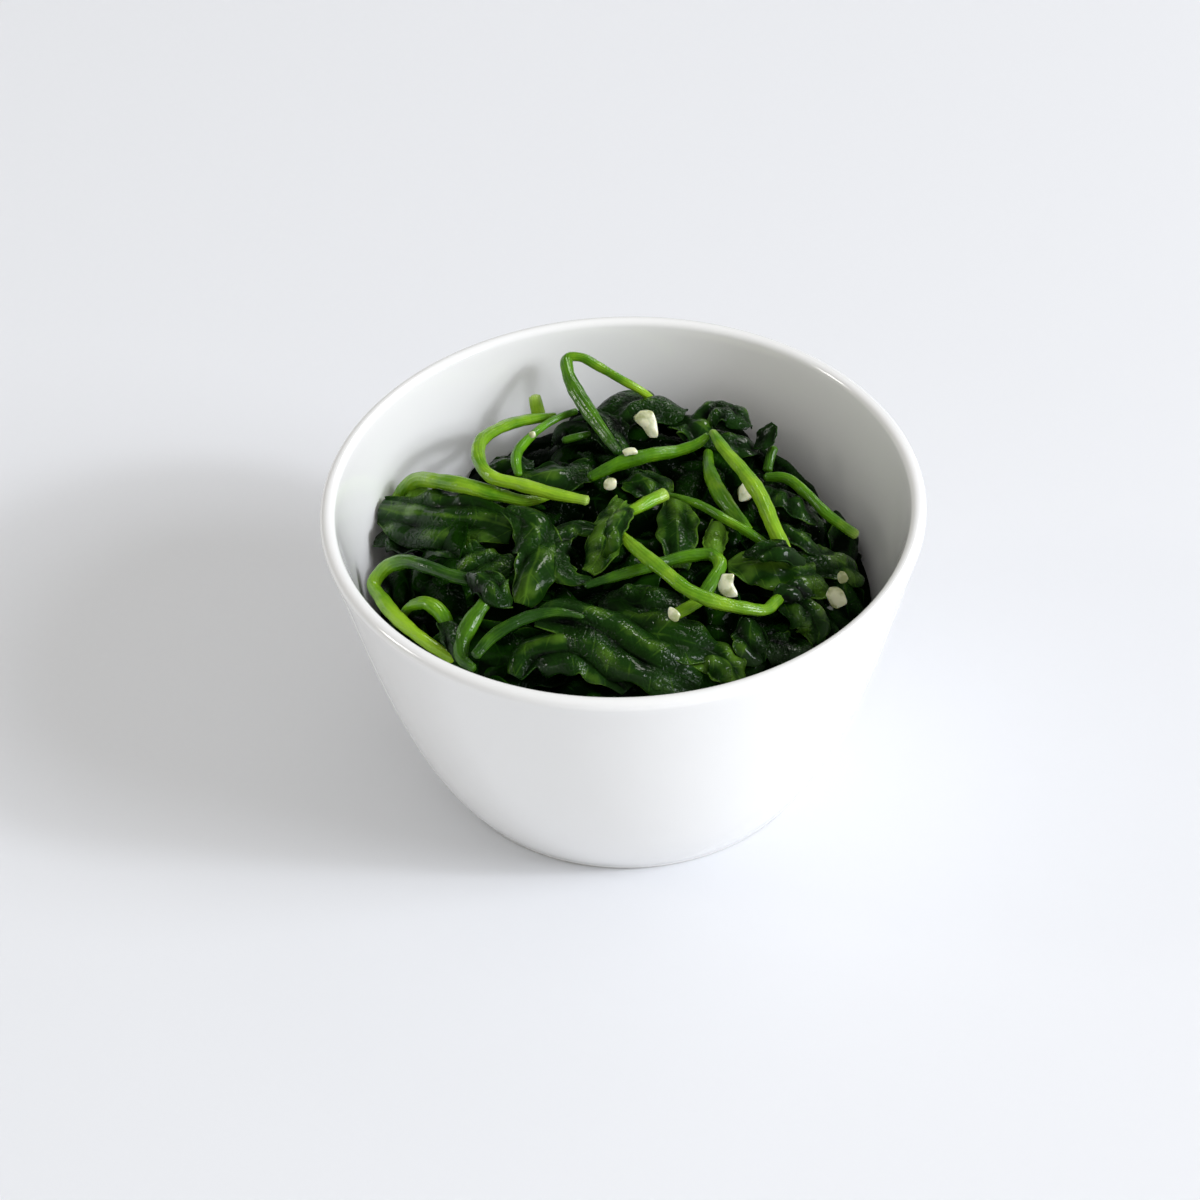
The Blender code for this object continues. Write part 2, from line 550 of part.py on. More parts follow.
def make_garlic(name, group, grow=0.0):
    """A chopped chip of garlic: its flat outline facing the eye, given its thickness, with
    the edges of both faces taken off."""
    height, thickness, outline = GARLIC[name]
    middle = np.mean(outline, axis=0)
    place = seen_at((*middle, height))
    scale = np.linalg.norm(place - EYE) / PHOTO_FOCAL_PIXELS
    curve = bpy.data.curves.new(name, "CURVE")
    curve.dimensions = "2D"
    curve.fill_mode = "BOTH"
    curve.bevel_depth = GARLIC_BEVEL
    curve.bevel_resolution = 0
    curve.offset = grow - GARLIC_BEVEL
    curve.extrude = thickness / 2 + grow - GARLIC_BEVEL
    spline = curve.splines.new("POLY")
    spline.points.add(len(outline) - 1)
    spline.use_cyclic_u = True
    for point, (px, py) in zip(spline.points, outline):
        point.co = ((px - middle[0]) * scale, (middle[1] - py) * scale, 0.0, 1.0)
    toward = (EYE - place) / np.linalg.norm(EYE - place)
    right = sight_axes()[1]
    stand = Matrix(np.array([right, np.cross(toward, right), toward]).T).to_4x4()
    matrix = Matrix.Translation(place - toward * thickness / 2) @ stand
    return mesh_of_curve(name, curve, matrix, group)


def make_core(group):
    """The packed middle of the heap: a ball pressed into the bowl, with a creased top."""
    shape = bmesh.new()
    bmesh.ops.create_uvsphere(shape, u_segments=CORE_SEGMENTS, v_segments=CORE_RINGS,
                              radius=1.0)
    rim = inner_radius(CORE_EQUATOR) - 2 * GAP
    for vertex in shape.verts:
        x, y, z = vertex.co
        reach = math.hypot(x, y)
        turn = math.atan2(y, x)
        if z > -0.5 / CORE_RINGS:
            radius = reach * rim
            crease = CREASE_HEIGHT * math.sin(CREASES * turn + CREASE_DRIFT * radius) * reach
            top = heap_height(radius * math.cos(turn), radius * math.sin(turn))
            top += crease - CORE_DEPTH
            height = CORE_EQUATOR + (top - CORE_EQUATOR) * min(1.0, CORE_TOP_STEEPNESS * z)
        else:
            height = CORE_EQUATOR + z * (CORE_EQUATOR - FLOOR_HEIGHT - 2 * GAP)
            radius = min(1.0, CORE_FLOOR_SPREAD * reach) * (inner_radius(height) - 2 * GAP)
        vertex.co = (radius * math.cos(turn), radius * math.sin(turn), height)
    bmesh.ops.triangulate(shape, faces=shape.faces)
    bmesh.ops.recalc_face_normals(shape, faces=shape.faces)
    mesh = bpy.data.meshes.new("leaf_mass")
    shape.to_mesh(mesh)
    shape.free()
    return new_object("leaf_mass", mesh, group)


def mass_blade_points(draw, index):
    """A crumpled blade of the packed mass: out of the core, over the heap and back in.
    The first ones lie round the wall, and the others anywhere on the heap."""
    if index < MASS_EDGE_BLADES:
        turn = 2 * math.pi * (index + 0.5 * draw.random()) / MASS_EDGE_BLADES
        spread = MASS_EDGE_RADIUS
        heading = turn + math.pi / 2 + draw.uniform(-0.4, 0.4)
        crown = draw.uniform(*MASS_EDGE_CROWN)
    else:
        turn = draw.uniform(0.0, 2 * math.pi)
        spread = MASS_SPREAD * math.sqrt(draw.random())
        heading = draw.uniform(0.0, 2 * math.pi)
        crown = draw.uniform(*MASS_CROWN)
    length = draw.uniform(*MASS_BLADE_LENGTH)
    centre = spread * np.array([math.cos(turn), math.sin(turn)])
    along = 0.5 * length * np.array([math.cos(heading), math.sin(heading)])
    route = []
    for share, lift in zip((-1.0, -0.35, 0.35, 1.0), (-MASS_SINK, crown, crown, -MASS_SINK)):
        x, y = centre + share * along
        route.append((x, y, heap_height(x, y) + lift))
    route = keep_inside(route, MASS_BLADE_HALF_WIDTH[0] / 2)
    half_width = draw.uniform(*MASS_BLADE_HALF_WIDTH)
    bend = draw.uniform(*MASS_BEND)
    lean = draw.uniform(-MASS_LEAN, MASS_LEAN)
    points = blade_surface(route, half_width, bend, lean, 1, MASS_RUFFLE,
                           MASS_ROWS, MASS_COLUMNS, 0.0)
    return keep_inside(points, BLADE_THICKNESS / 2 + 3 * GAP)


def boolean(thing, operation, cutters, group):
    """Join or cut an object with a collection of others, and apply the result."""
    modifier = thing.modifiers.new("boolean", "BOOLEAN")
    modifier.operation = operation
    modifier.operand_type = "COLLECTION"
    modifier.collection = cutters
    modifier.solver = "EXACT"
    return apply_modifiers(thing, group)


def empty_collection(group):
    """Remove a collection and the objects in it."""
    for thing in list(group.objects):
        bpy.data.objects.remove(thing, do_unlink=True)
    bpy.data.collections.remove(group)


def bodies_of(shape):
    """The separate bodies of a mesh, each as a list of faces."""
    left = set(shape.faces)
    bodies = []
    while left:
        seed = left.pop()
        body = [seed]
        for face in body:
            for edge in face.edges:
                for other in edge.link_faces:
                    if other in left:
                        left.remove(other)
                        body.append(other)
        bodies.append(body)
    return bodies


def body_volume(body):
    """Volume of a closed body of triangles."""
    total = 0.0
    for face in body:
        a, b, c = (loop.vert.co for loop in face.loops)
        total += a.dot(b.cross(c)) / 6.0
    return total


def keep_largest(thing):
    """Drop the loose scraps that cutting leaves, and keep the largest body."""
    shape = bmesh.new()
    shape.from_mesh(thing.data)
    bmesh.ops.dissolve_limit(shape, angle_limit=FLAT_ANGLE, verts=shape.verts, edges=shape.edges)
    bmesh.ops.triangulate(shape, faces=shape.faces)
    bodies = sorted(bodies_of(shape), key=body_volume)
    for body in bodies[:-1]:
        bmesh.ops.delete(shape, geom=body, context="FACES")
    shape.to_mesh(thing.data)
    shape.free()


def near(low_a, high_a, low_b, high_b):
    """Whether two boxes meet."""
    return bool(np.all(low_a <= high_b) and np.all(low_b <= high_a))


def bounds(thing):
    """Lowest and highest corner of an object's mesh."""
    points = np.empty(len(thing.data.vertices) * 3)
    thing.data.vertices.foreach_get("co", points)
    points = points.reshape(-1, 3)
    return points.min(axis=0), points.max(axis=0)


def clear_of(thing, cutters, group):
    """Cut a piece back from every grown neighbour above it that it would meet."""
    low, high = bounds(thing)
    met = new_collection("met")
    for cutter in cutters:
        if near(low, high, *bounds(cutter)):
            met.objects.link(cutter)
    if met.objects:
        thing = boolean(thing, "DIFFERENCE", met, group)
        keep_largest(thing)
    for cutter in list(met.objects):
        met.objects.unlink(cutter)
    bpy.data.collections.remove(met)
    return thing


def finish(thing, material):
    """Give a piece its material and smooth shading with sharp creases."""
    thing.data.materials.clear()
    thing.data.materials.append(material)
    thing.data.shade_smooth()
    thing.data.set_sharp_from_angle(angle=CREASE_ANGLE)


def make_mass(cutters, group):
    """The packed leaves under the ones that show: core and blades in one body."""
    core = make_core(group)
    draw = random.Random(MASS_SEED)
    blades = new_collection("mass_blades")
    for index in range(MASS_BLADES + MASS_EDGE_BLADES):
        points = mass_blade_points(draw, index)
        make_sheet("mass_blade_%02d" % index, points, BLADE_THICKNESS, blades)
    mass = boolean(core, "UNION", blades, group)
    empty_collection(blades)
    keep_largest(mass)
    return clear_of(mass, cutters, group)


def set_aside(cutters, group):
    """Mark the cutters, which are no part of the object."""
    for cutter in cutters:
        cutter.name = "cutter_" + cutter.name
        cutter.hide_render = True
        cutter.display_type = "WIRE"
        if cutter.name not in group.objects:
            group.objects.link(cutter)


def build():
    """Make every piece. A piece lies under those made before it and is cut clear of them."""
    clear_scene()
    parts = new_collection("bowl_of_cooked_spinach")
    tools = new_collection("cutters")
    porcelain = new_material("porcelain", PORCELAIN_WHITE, 0.15)
    stem_green = new_material("stem_green", STEM_GREEN, 0.25)
    pale_stem = new_material("pale_stem_green", PALE_STEM_GREEN, 0.30)
    blade_green = new_material("blade_green", BLADE_GREEN, 0.20)
    young_green = new_material("young_blade_green", YOUNG_BLADE_GREEN, 0.25)
    ivory = new_material("garlic_ivory", GARLIC_IVORY, 0.40)

    make_bowl(parts, porcelain)
    cutters = []
    for name in STEMS:
        stem = make_stem(name, parts)
        finish(stem, pale_stem if name in PALE_STEMS else stem_green)
        cutters.append(make_stem(name, tools, grow=1.4 * GAP))
    for name in GARLIC:
        chip = clear_of(make_garlic(name, parts), cutters, parts)
        finish(chip, ivory)
        cutters.append(make_garlic(name, tools, grow=GAP))
    for name in sorted(BLADES, key=lambda blade: -max(place[2] for place in BLADES[blade][0])):
        blade = clear_of(make_blade(name, parts), cutters, parts)
        finish(blade, young_green if name in YOUNG_BLADES else blade_green)
        cutters.append(make_blade(name, tools, grow=GAP))
    finish(make_mass(cutters, parts), blade_green)
    set_aside(cutters, tools)


build()
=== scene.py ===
import math

import bpy
import numpy as np
from mathutils import Matrix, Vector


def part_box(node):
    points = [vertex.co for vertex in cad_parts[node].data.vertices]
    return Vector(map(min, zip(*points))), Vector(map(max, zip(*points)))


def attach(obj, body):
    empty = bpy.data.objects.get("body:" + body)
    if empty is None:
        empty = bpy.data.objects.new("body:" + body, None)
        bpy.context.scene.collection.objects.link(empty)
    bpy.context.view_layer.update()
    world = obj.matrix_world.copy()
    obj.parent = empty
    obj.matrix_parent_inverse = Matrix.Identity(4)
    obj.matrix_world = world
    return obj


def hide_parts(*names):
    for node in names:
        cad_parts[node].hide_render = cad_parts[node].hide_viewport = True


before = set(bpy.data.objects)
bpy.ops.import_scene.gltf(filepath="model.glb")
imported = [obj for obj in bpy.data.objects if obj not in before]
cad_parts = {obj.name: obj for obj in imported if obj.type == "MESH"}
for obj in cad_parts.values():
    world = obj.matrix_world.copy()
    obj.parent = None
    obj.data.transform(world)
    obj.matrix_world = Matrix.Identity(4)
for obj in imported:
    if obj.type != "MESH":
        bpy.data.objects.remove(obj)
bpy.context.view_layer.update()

# The table and the room: a plain pale top under a large soft lamp with a brighter middle on the
# right, a weak lamp on the left, an even room, and two window panes that only wet and glazed
# skins show. The view has the photograph's eye, slope and roll, and a lens of 4200 pixels.
PHOTO_MIDDLE = 600.0
PHOTO_SIDE = 1200.0
PHOTO_FOCAL_PIXELS = 4200.0
EYE = np.array([-0.0056, -0.6886, 0.6484])
EYE_ELEVATION = math.radians(41.4)
EYE_ROLL = math.radians(-2.03)
FILM_SIDE = 36.0
TABLE_HALF = 4.0
TABLE_COLOUR = (0.80, 0.815, 0.845)
LAMP_PLACE = (2.33, -0.80, 1.57)
LAMP_SIDE = 1.45
LAMP_POWER = 51.0
LAMP_COLOUR = (0.915, 0.94, 1.0)
BULB_SIDE = 0.30
BULB_POWER = 21.0
WINDOW_PLACE = (-2.00, 0.10, 1.30)
WINDOW_SIDE = 0.34
WINDOW_POWER = 2.2
WINDOW_COLOUR = (1.0, 0.96, 0.88)
ROOM_COLOUR = (1.0, 0.983, 0.952)
ROOM_STRENGTH = 0.657
ROOM_IN_GLOSS = 0.06
# Each pane has the way to it, its half angle in degrees, and its brightness.
PANES = (((-0.87, 0.00, 0.50), 7.0, 8.0), ((0.34, 0.58, 0.74), 9.0, 9.0))
PANE_SOFT_EDGE = 2.0

LEVEL = np.array([1.0, 0.0, 0.0])
FORWARD = np.array([0.0, math.cos(EYE_ELEVATION), -math.sin(EYE_ELEVATION)])
ABOVE = np.cross(LEVEL, FORWARD)
RIGHT = LEVEL * math.cos(EYE_ROLL) + ABOVE * math.sin(EYE_ROLL)
UP = ABOVE * math.cos(EYE_ROLL) - LEVEL * math.sin(EYE_ROLL)


def node(tree, kind, inputs=(), **settings):
    """A shader node with its settings, and its inputs as (name or number, value or socket)."""
    made = tree.nodes.new("ShaderNode" + kind)
    for name, value in settings.items():
        setattr(made, name, value)
    for key, value in inputs:
        if isinstance(value, bpy.types.NodeSocket):
            tree.links.new(value, made.inputs[key])
        else:
            made.inputs[key].default_value = value
    return made


def finish_of(name, **inputs):
    """A new Principled material, its node tree and its shader. Inputs use the socket's name."""
    material = bpy.data.materials.new(name)
    material.use_nodes = True
    tree = material.node_tree
    shader = tree.nodes["Principled BSDF"]
    for key, value in inputs.items():
        shader.inputs[key.replace("_", " ")].default_value = value
    return material, tree, shader


def worked_out(tree, operation, *values, **settings):
    """The outcome of one sum on values or sockets."""
    made = node(tree, "Math", enumerate(values), operation=operation, **settings)
    return made.outputs[0]


def between(tree, value, start, stop, low=0.0, high=1.0, **settings):
    """A number that runs from low to high while the value runs from start to stop."""
    made = node(tree, "MapRange", [("Value", value), ("From Min", start), ("From Max", stop),
                                   ("To Min", low), ("To Max", high)], **settings)
    return made.outputs[0]


def cloud(tree, place, scale, detail):
    """Soft noise round a half, with so many patches a metre."""
    made = node(tree, "TexNoise", [("Vector", place), ("Scale", scale), ("Detail", detail)])
    return made.outputs["Fac"]


def blended(tree, share, first, second):
    """A share of the way from the first colour, given or from a socket, to the second."""
    first = first if isinstance(first, bpy.types.NodeSocket) else (*first, 1.0)
    made = node(tree, "Mix", [("Factor", share), (6, first), (7, (*second, 1.0))], data_type="RGBA")
    return made.outputs[2]


def lifted(colour, times):
    """A colour made lighter or darker: each part is taken times the same number."""
    return [times * part for part in colour]


def table_finish():
    """A plain pale top: a faint cloudiness in its tone."""
    material, tree, shader = finish_of("table_top", Roughness=0.65)
    place = node(tree, "TexCoord").outputs["Object"]
    tone = blended(tree, cloud(tree, place, 3.0, 4.0), lifted(TABLE_COLOUR, 0.985), TABLE_COLOUR)
    tree.links.new(tone, shader.inputs["Base Color"])
    return material


def grid_mesh(name, points, wrap=False, caps=False, spread=None):
    """A mesh over a rows x columns grid of points: one quad between each four neighbours, the
    last column joined to the first where it wraps, the first and last row capped. Its UV map
    holds, for each point, the pair in spread, or the shares along and across the grid."""
    rows, columns = points.shape[:2]
    index = np.arange(rows * columns).reshape(rows, columns)
    if wrap:
        index = np.concatenate([index, index[:, :1]], axis=1)
    if spread is None:
        spread = np.stack(np.meshgrid(np.linspace(0, 1, rows), np.linspace(0, 1, index.shape[1]),
                                      indexing="ij"), axis=-1)

    def corners(grid):
        """The four values round each quad, in the order that makes it face out."""
        return np.stack([grid[:-1, :-1], grid[:-1, 1:], grid[1:, 1:], grid[1:, :-1]], axis=2)

    faces = corners(index).reshape(-1, 4).tolist()
    places = corners(spread).reshape(-1, 2)
    if caps:
        faces += [index[0, :columns][::-1].tolist(), index[-1, :columns].tolist()]
        places = np.vstack([places, np.zeros((2 * columns, 2))])
    mesh = bpy.data.meshes.new(name)
    mesh.from_pydata(points.reshape(-1, 3).tolist(), [], faces)
    mesh.uv_layers.new(name="run").data.foreach_set("uv", places.ravel().astype(np.float32))
    mesh.shade_smooth()
    return mesh


def put(name, mesh, material):
    """An object of this mesh at the origin, with its material."""
    thing = bpy.data.objects.new(name, mesh)
    bpy.context.scene.collection.objects.link(thing)
    thing.data.materials.append(material)
    return thing


table_side = np.linspace(-TABLE_HALF, TABLE_HALF, 3)
table_grid = np.stack([*np.meshgrid(-table_side, table_side, indexing="ij"), np.zeros((3, 3))], axis=-1)
table = put("table_top", grid_mesh("table_top", table_grid), table_finish())

for name, place, side, power, colour in (("lamp", LAMP_PLACE, LAMP_SIDE, LAMP_POWER, LAMP_COLOUR),
                                         ("bulb", LAMP_PLACE, BULB_SIDE, BULB_POWER, LAMP_COLOUR),
                                         ("window", WINDOW_PLACE, WINDOW_SIDE, WINDOW_POWER,
                                          WINDOW_COLOUR)):
    lamp = bpy.data.objects.new(name, bpy.data.lights.new(name, "AREA"))
    lamp.data.shape = "DISK"
    lamp.data.size = side
    lamp.data.energy = power
    lamp.data.color = colour
    lamp.location = place
    lamp.rotation_euler = (-lamp.location).to_track_quat("-Z", "Y").to_euler()
    bpy.context.scene.collection.objects.link(lamp)

room = bpy.data.worlds.new("room")
room.use_nodes = True
room_tree = room.node_tree
background = room_tree.nodes["Background"]
background.inputs["Color"].default_value = (*ROOM_COLOUR, 1.0)
heading = node(room_tree, "TexCoord").outputs["Generated"]
in_gloss = ROOM_IN_GLOSS
for toward, half_angle, radiance in PANES:
    toward = np.array(toward) / np.linalg.norm(toward)
    near = node(room_tree, "VectorMath", [(0, heading), (1, toward)], operation="DOT_PRODUCT")
    pane = between(room_tree, near.outputs["Value"],
                   math.cos(math.radians(half_angle + PANE_SOFT_EDGE)),
                   math.cos(math.radians(half_angle - PANE_SOFT_EDGE)), 0.0, radiance)
    in_gloss = worked_out(room_tree, "ADD", in_gloss, pane)
glossy = node(room_tree, "LightPath").outputs["Is Glossy Ray"]
brightness = between(room_tree, glossy, 0.0, 1.0, ROOM_STRENGTH, in_gloss)
room_tree.links.new(brightness, background.inputs["Strength"])
bpy.context.scene.world = room

camera = bpy.data.objects.new("camera", bpy.data.cameras.new("camera"))
camera.data.sensor_width = FILM_SIDE
camera.data.lens = PHOTO_FOCAL_PIXELS / PHOTO_SIDE * FILM_SIDE
camera.matrix_world = Matrix.Translation(EYE) @ Matrix(np.array([RIGHT, UP, -FORWARD]).T).to_4x4()
bpy.context.scene.collection.objects.link(camera)
bpy.context.scene.camera = camera
bpy.context.scene.view_settings.view_transform = "Standard"

# The bowl: glazed white porcelain, thrown round, with a rounded lip and a ground foot ring.
# One half section is turned about the upright axis: floor, inside wall, lip, outside wall,
# foot and recess. It stands for the CAD bowl and stays inside it.
RIM_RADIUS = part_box("bowl")[1][0]
BOWL_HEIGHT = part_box("bowl")[1][2]
WALL_THICKNESS = 0.0034
FLOOR_HEIGHT = 0.0050
FOOT_RADIUS = 0.0420
FOOT_WIDTH = 0.0047
FOOT_RECESS = 0.0015
FOOT_EDGE = 0.0006
COVE_RADIUS = 0.0050
COVE_RISE = 0.004
COVE_INSET = 0.0055
FLOOR_INSET = 0.012
POLE_RADIUS = 0.0005
WALL_TOP_SLANT = math.radians(14.0)
WALL_BELLY_HIGH = (0.0580, 0.0400)
WALL_BELLY_LOW = (0.0520, 0.0140)
QUARTER_TURN = 1.57
BOWL_STEPS = 180
PORCELAIN_WHITE = (0.895, 0.897, 0.890)
FOOT_BISCUIT = (0.66, 0.63, 0.57)


def outer_wall(count):
    """Outer wall, lip to foot: a cubic curve over two belly points."""
    half = WALL_THICKNESS / 2
    top = (RIM_RADIUS - half * (1 - math.cos(WALL_TOP_SLANT)),
           BOWL_HEIGHT - half * (1 + math.sin(WALL_TOP_SLANT)))
    poles = np.array([top, WALL_BELLY_HIGH, WALL_BELLY_LOW, (FOOT_RADIUS, FOOT_EDGE)])
    t = np.linspace(0.0, 1.0, count)[:, None]
    weights = np.hstack([(1 - t) ** 3, 3 * (1 - t) ** 2 * t, 3 * (1 - t) * t ** 2, t ** 3])
    return weights @ poles


def inner_wall(count):
    """Inner wall, lip to floor: the outer wall moved in along its normal by its thickness."""
    wall = outer_wall(count)
    along = np.gradient(wall, axis=0)
    inward = np.column_stack([along[:, 1], -along[:, 0]])
    return wall + inward / np.linalg.norm(inward, axis=1)[:, None] * WALL_THICKNESS


INNER_PROFILE = inner_wall(60)[::-1]


def inner_radius(height):
    """Radius of the bowl's inside at a height."""
    return np.interp(height, INNER_PROFILE[:, 1], INNER_PROFILE[:, 0])


def arc(centre, radius, start, stop, count):
    """Points on an arc of the half section."""
    turn = np.linspace(start, stop, count)
    return np.array(centre) + radius * np.column_stack([np.cos(turn), np.sin(turn)])


def bowl_profile():
    """Half section from the floor's centre over the lip and the foot to the recess's centre."""
    half = WALL_THICKNESS / 2
    inside = inner_wall(40)[::-1]
    inside = inside[inside[:, 1] > FLOOR_HEIGHT + COVE_RISE][:-1]
    corner = inner_radius(FLOOR_HEIGHT + COVE_RISE)
    floor = [(POLE_RADIUS, FLOOR_HEIGHT), (corner - FLOOR_INSET, FLOOR_HEIGHT)]
    cove = arc((corner - COVE_INSET, FLOOR_HEIGHT + COVE_RADIUS), COVE_RADIUS,
               -QUARTER_TURN, -0.25, 6)
    lip = arc((RIM_RADIUS - half, BOWL_HEIGHT - half), half,
              math.pi - WALL_TOP_SLANT, -WALL_TOP_SLANT, 16)[:-1]
    foot_inner = FOOT_RADIUS - FOOT_WIDTH
    ring = np.vstack([
        arc((FOOT_RADIUS - FOOT_EDGE, FOOT_EDGE), FOOT_EDGE, 0.0, -QUARTER_TURN, 5)[1:],
        arc((foot_inner + FOOT_EDGE, FOOT_EDGE), FOOT_EDGE, -QUARTER_TURN, -2 * QUARTER_TURN, 5)])
    recess = [(foot_inner - FOOT_EDGE, FOOT_RECESS), (POLE_RADIUS, FOOT_RECESS)]
    return np.vstack([floor, cove, inside, lip, outer_wall(40), ring, recess])


def porcelain_finish():
    """White glaze, a little cloudy, with a faint orange-peel skin. The foot ring is bare."""
    material, tree, shader = finish_of("porcelain", Roughness=0.12, Coat_Weight=0.5,
                                       Coat_Roughness=0.04)
    place = node(tree, "TexCoord").outputs["Object"]
    white = blended(tree, cloud(tree, place, 35.0, 3.0), lifted(PORCELAIN_WHITE, 0.97),
                    PORCELAIN_WHITE)
    height = node(tree, "SeparateXYZ", [(0, place)]).outputs["Z"]
    bare = between(tree, height, 0.0003, 0.0001)
    skin = blended(tree, bare, white, FOOT_BISCUIT)
    dull = between(tree, bare, 0.0, 1.0, 0.12, 0.8)
    bump = node(tree, "Bump", [("Height", cloud(tree, place, 160.0, 2.0)), ("Strength", 0.03),
                               ("Distance", 0.0004)])
    tree.links.new(skin, shader.inputs["Base Color"])
    tree.links.new(dull, shader.inputs["Roughness"])
    tree.links.new(bump.outputs[0], shader.inputs["Normal"])
    return material


section = bowl_profile()
turn = np.linspace(0.0, 2 * math.pi, BOWL_STEPS, endpoint=False)
bowl_grid = np.stack([section[:, :1] * np.cos(turn), section[:, :1] * np.sin(turn),
                      section[:, 1:] * np.ones(BOWL_STEPS)], axis=-1)[::-1]
porcelain = put("porcelain_bowl", grid_mesh("porcelain_bowl", bowl_grid, wrap=True, caps=True),
                porcelain_finish())
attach(porcelain, "root")
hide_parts("bowl")

# The stems: cooked spinach stems, bright green, wet and soft, with fine ribs and a shallow
# groove, and pale where the knife cut them. Each has a route as (px, py, height over the
# table, radius), and its tone at both ends, from 0, deep green, to 1, yellow green.
STEM_SIDES = 28
STEM_RING_SPACING = 0.00045
STEM_WALL_GAP = 0.0006
STEM_DRAW = 100
CUT_FADE = 0.0011
FULL_TURN = 6.28
STEM_TWIST = 14.0
BROAD_RIBS = 5
BROAD_RIB_HEIGHT = 0.026
FINE_RIBS = 11
FINE_RIB_HEIGHT = 0.009
GROOVE_DEPTH = 0.16
GROOVE_WIDTH = 0.40
GROOVE_PLACE = 1.5
STEM_SWELLS = ((0.050, 330), (0.035, 790), (0.020, 1700))
STEM_FLATNESS = 0.10
STEM_END_SHARE = 0.22
STEM_FIBRES = 13
STEM_DEEP = (0.013, 0.058, 0.0016)
STEM_BRIGHT = (0.080, 0.230, 0.0024)
STEM_YELLOW = (0.265, 0.465, 0.0160)
STEM_PALE = (0.430, 0.560, 0.160)
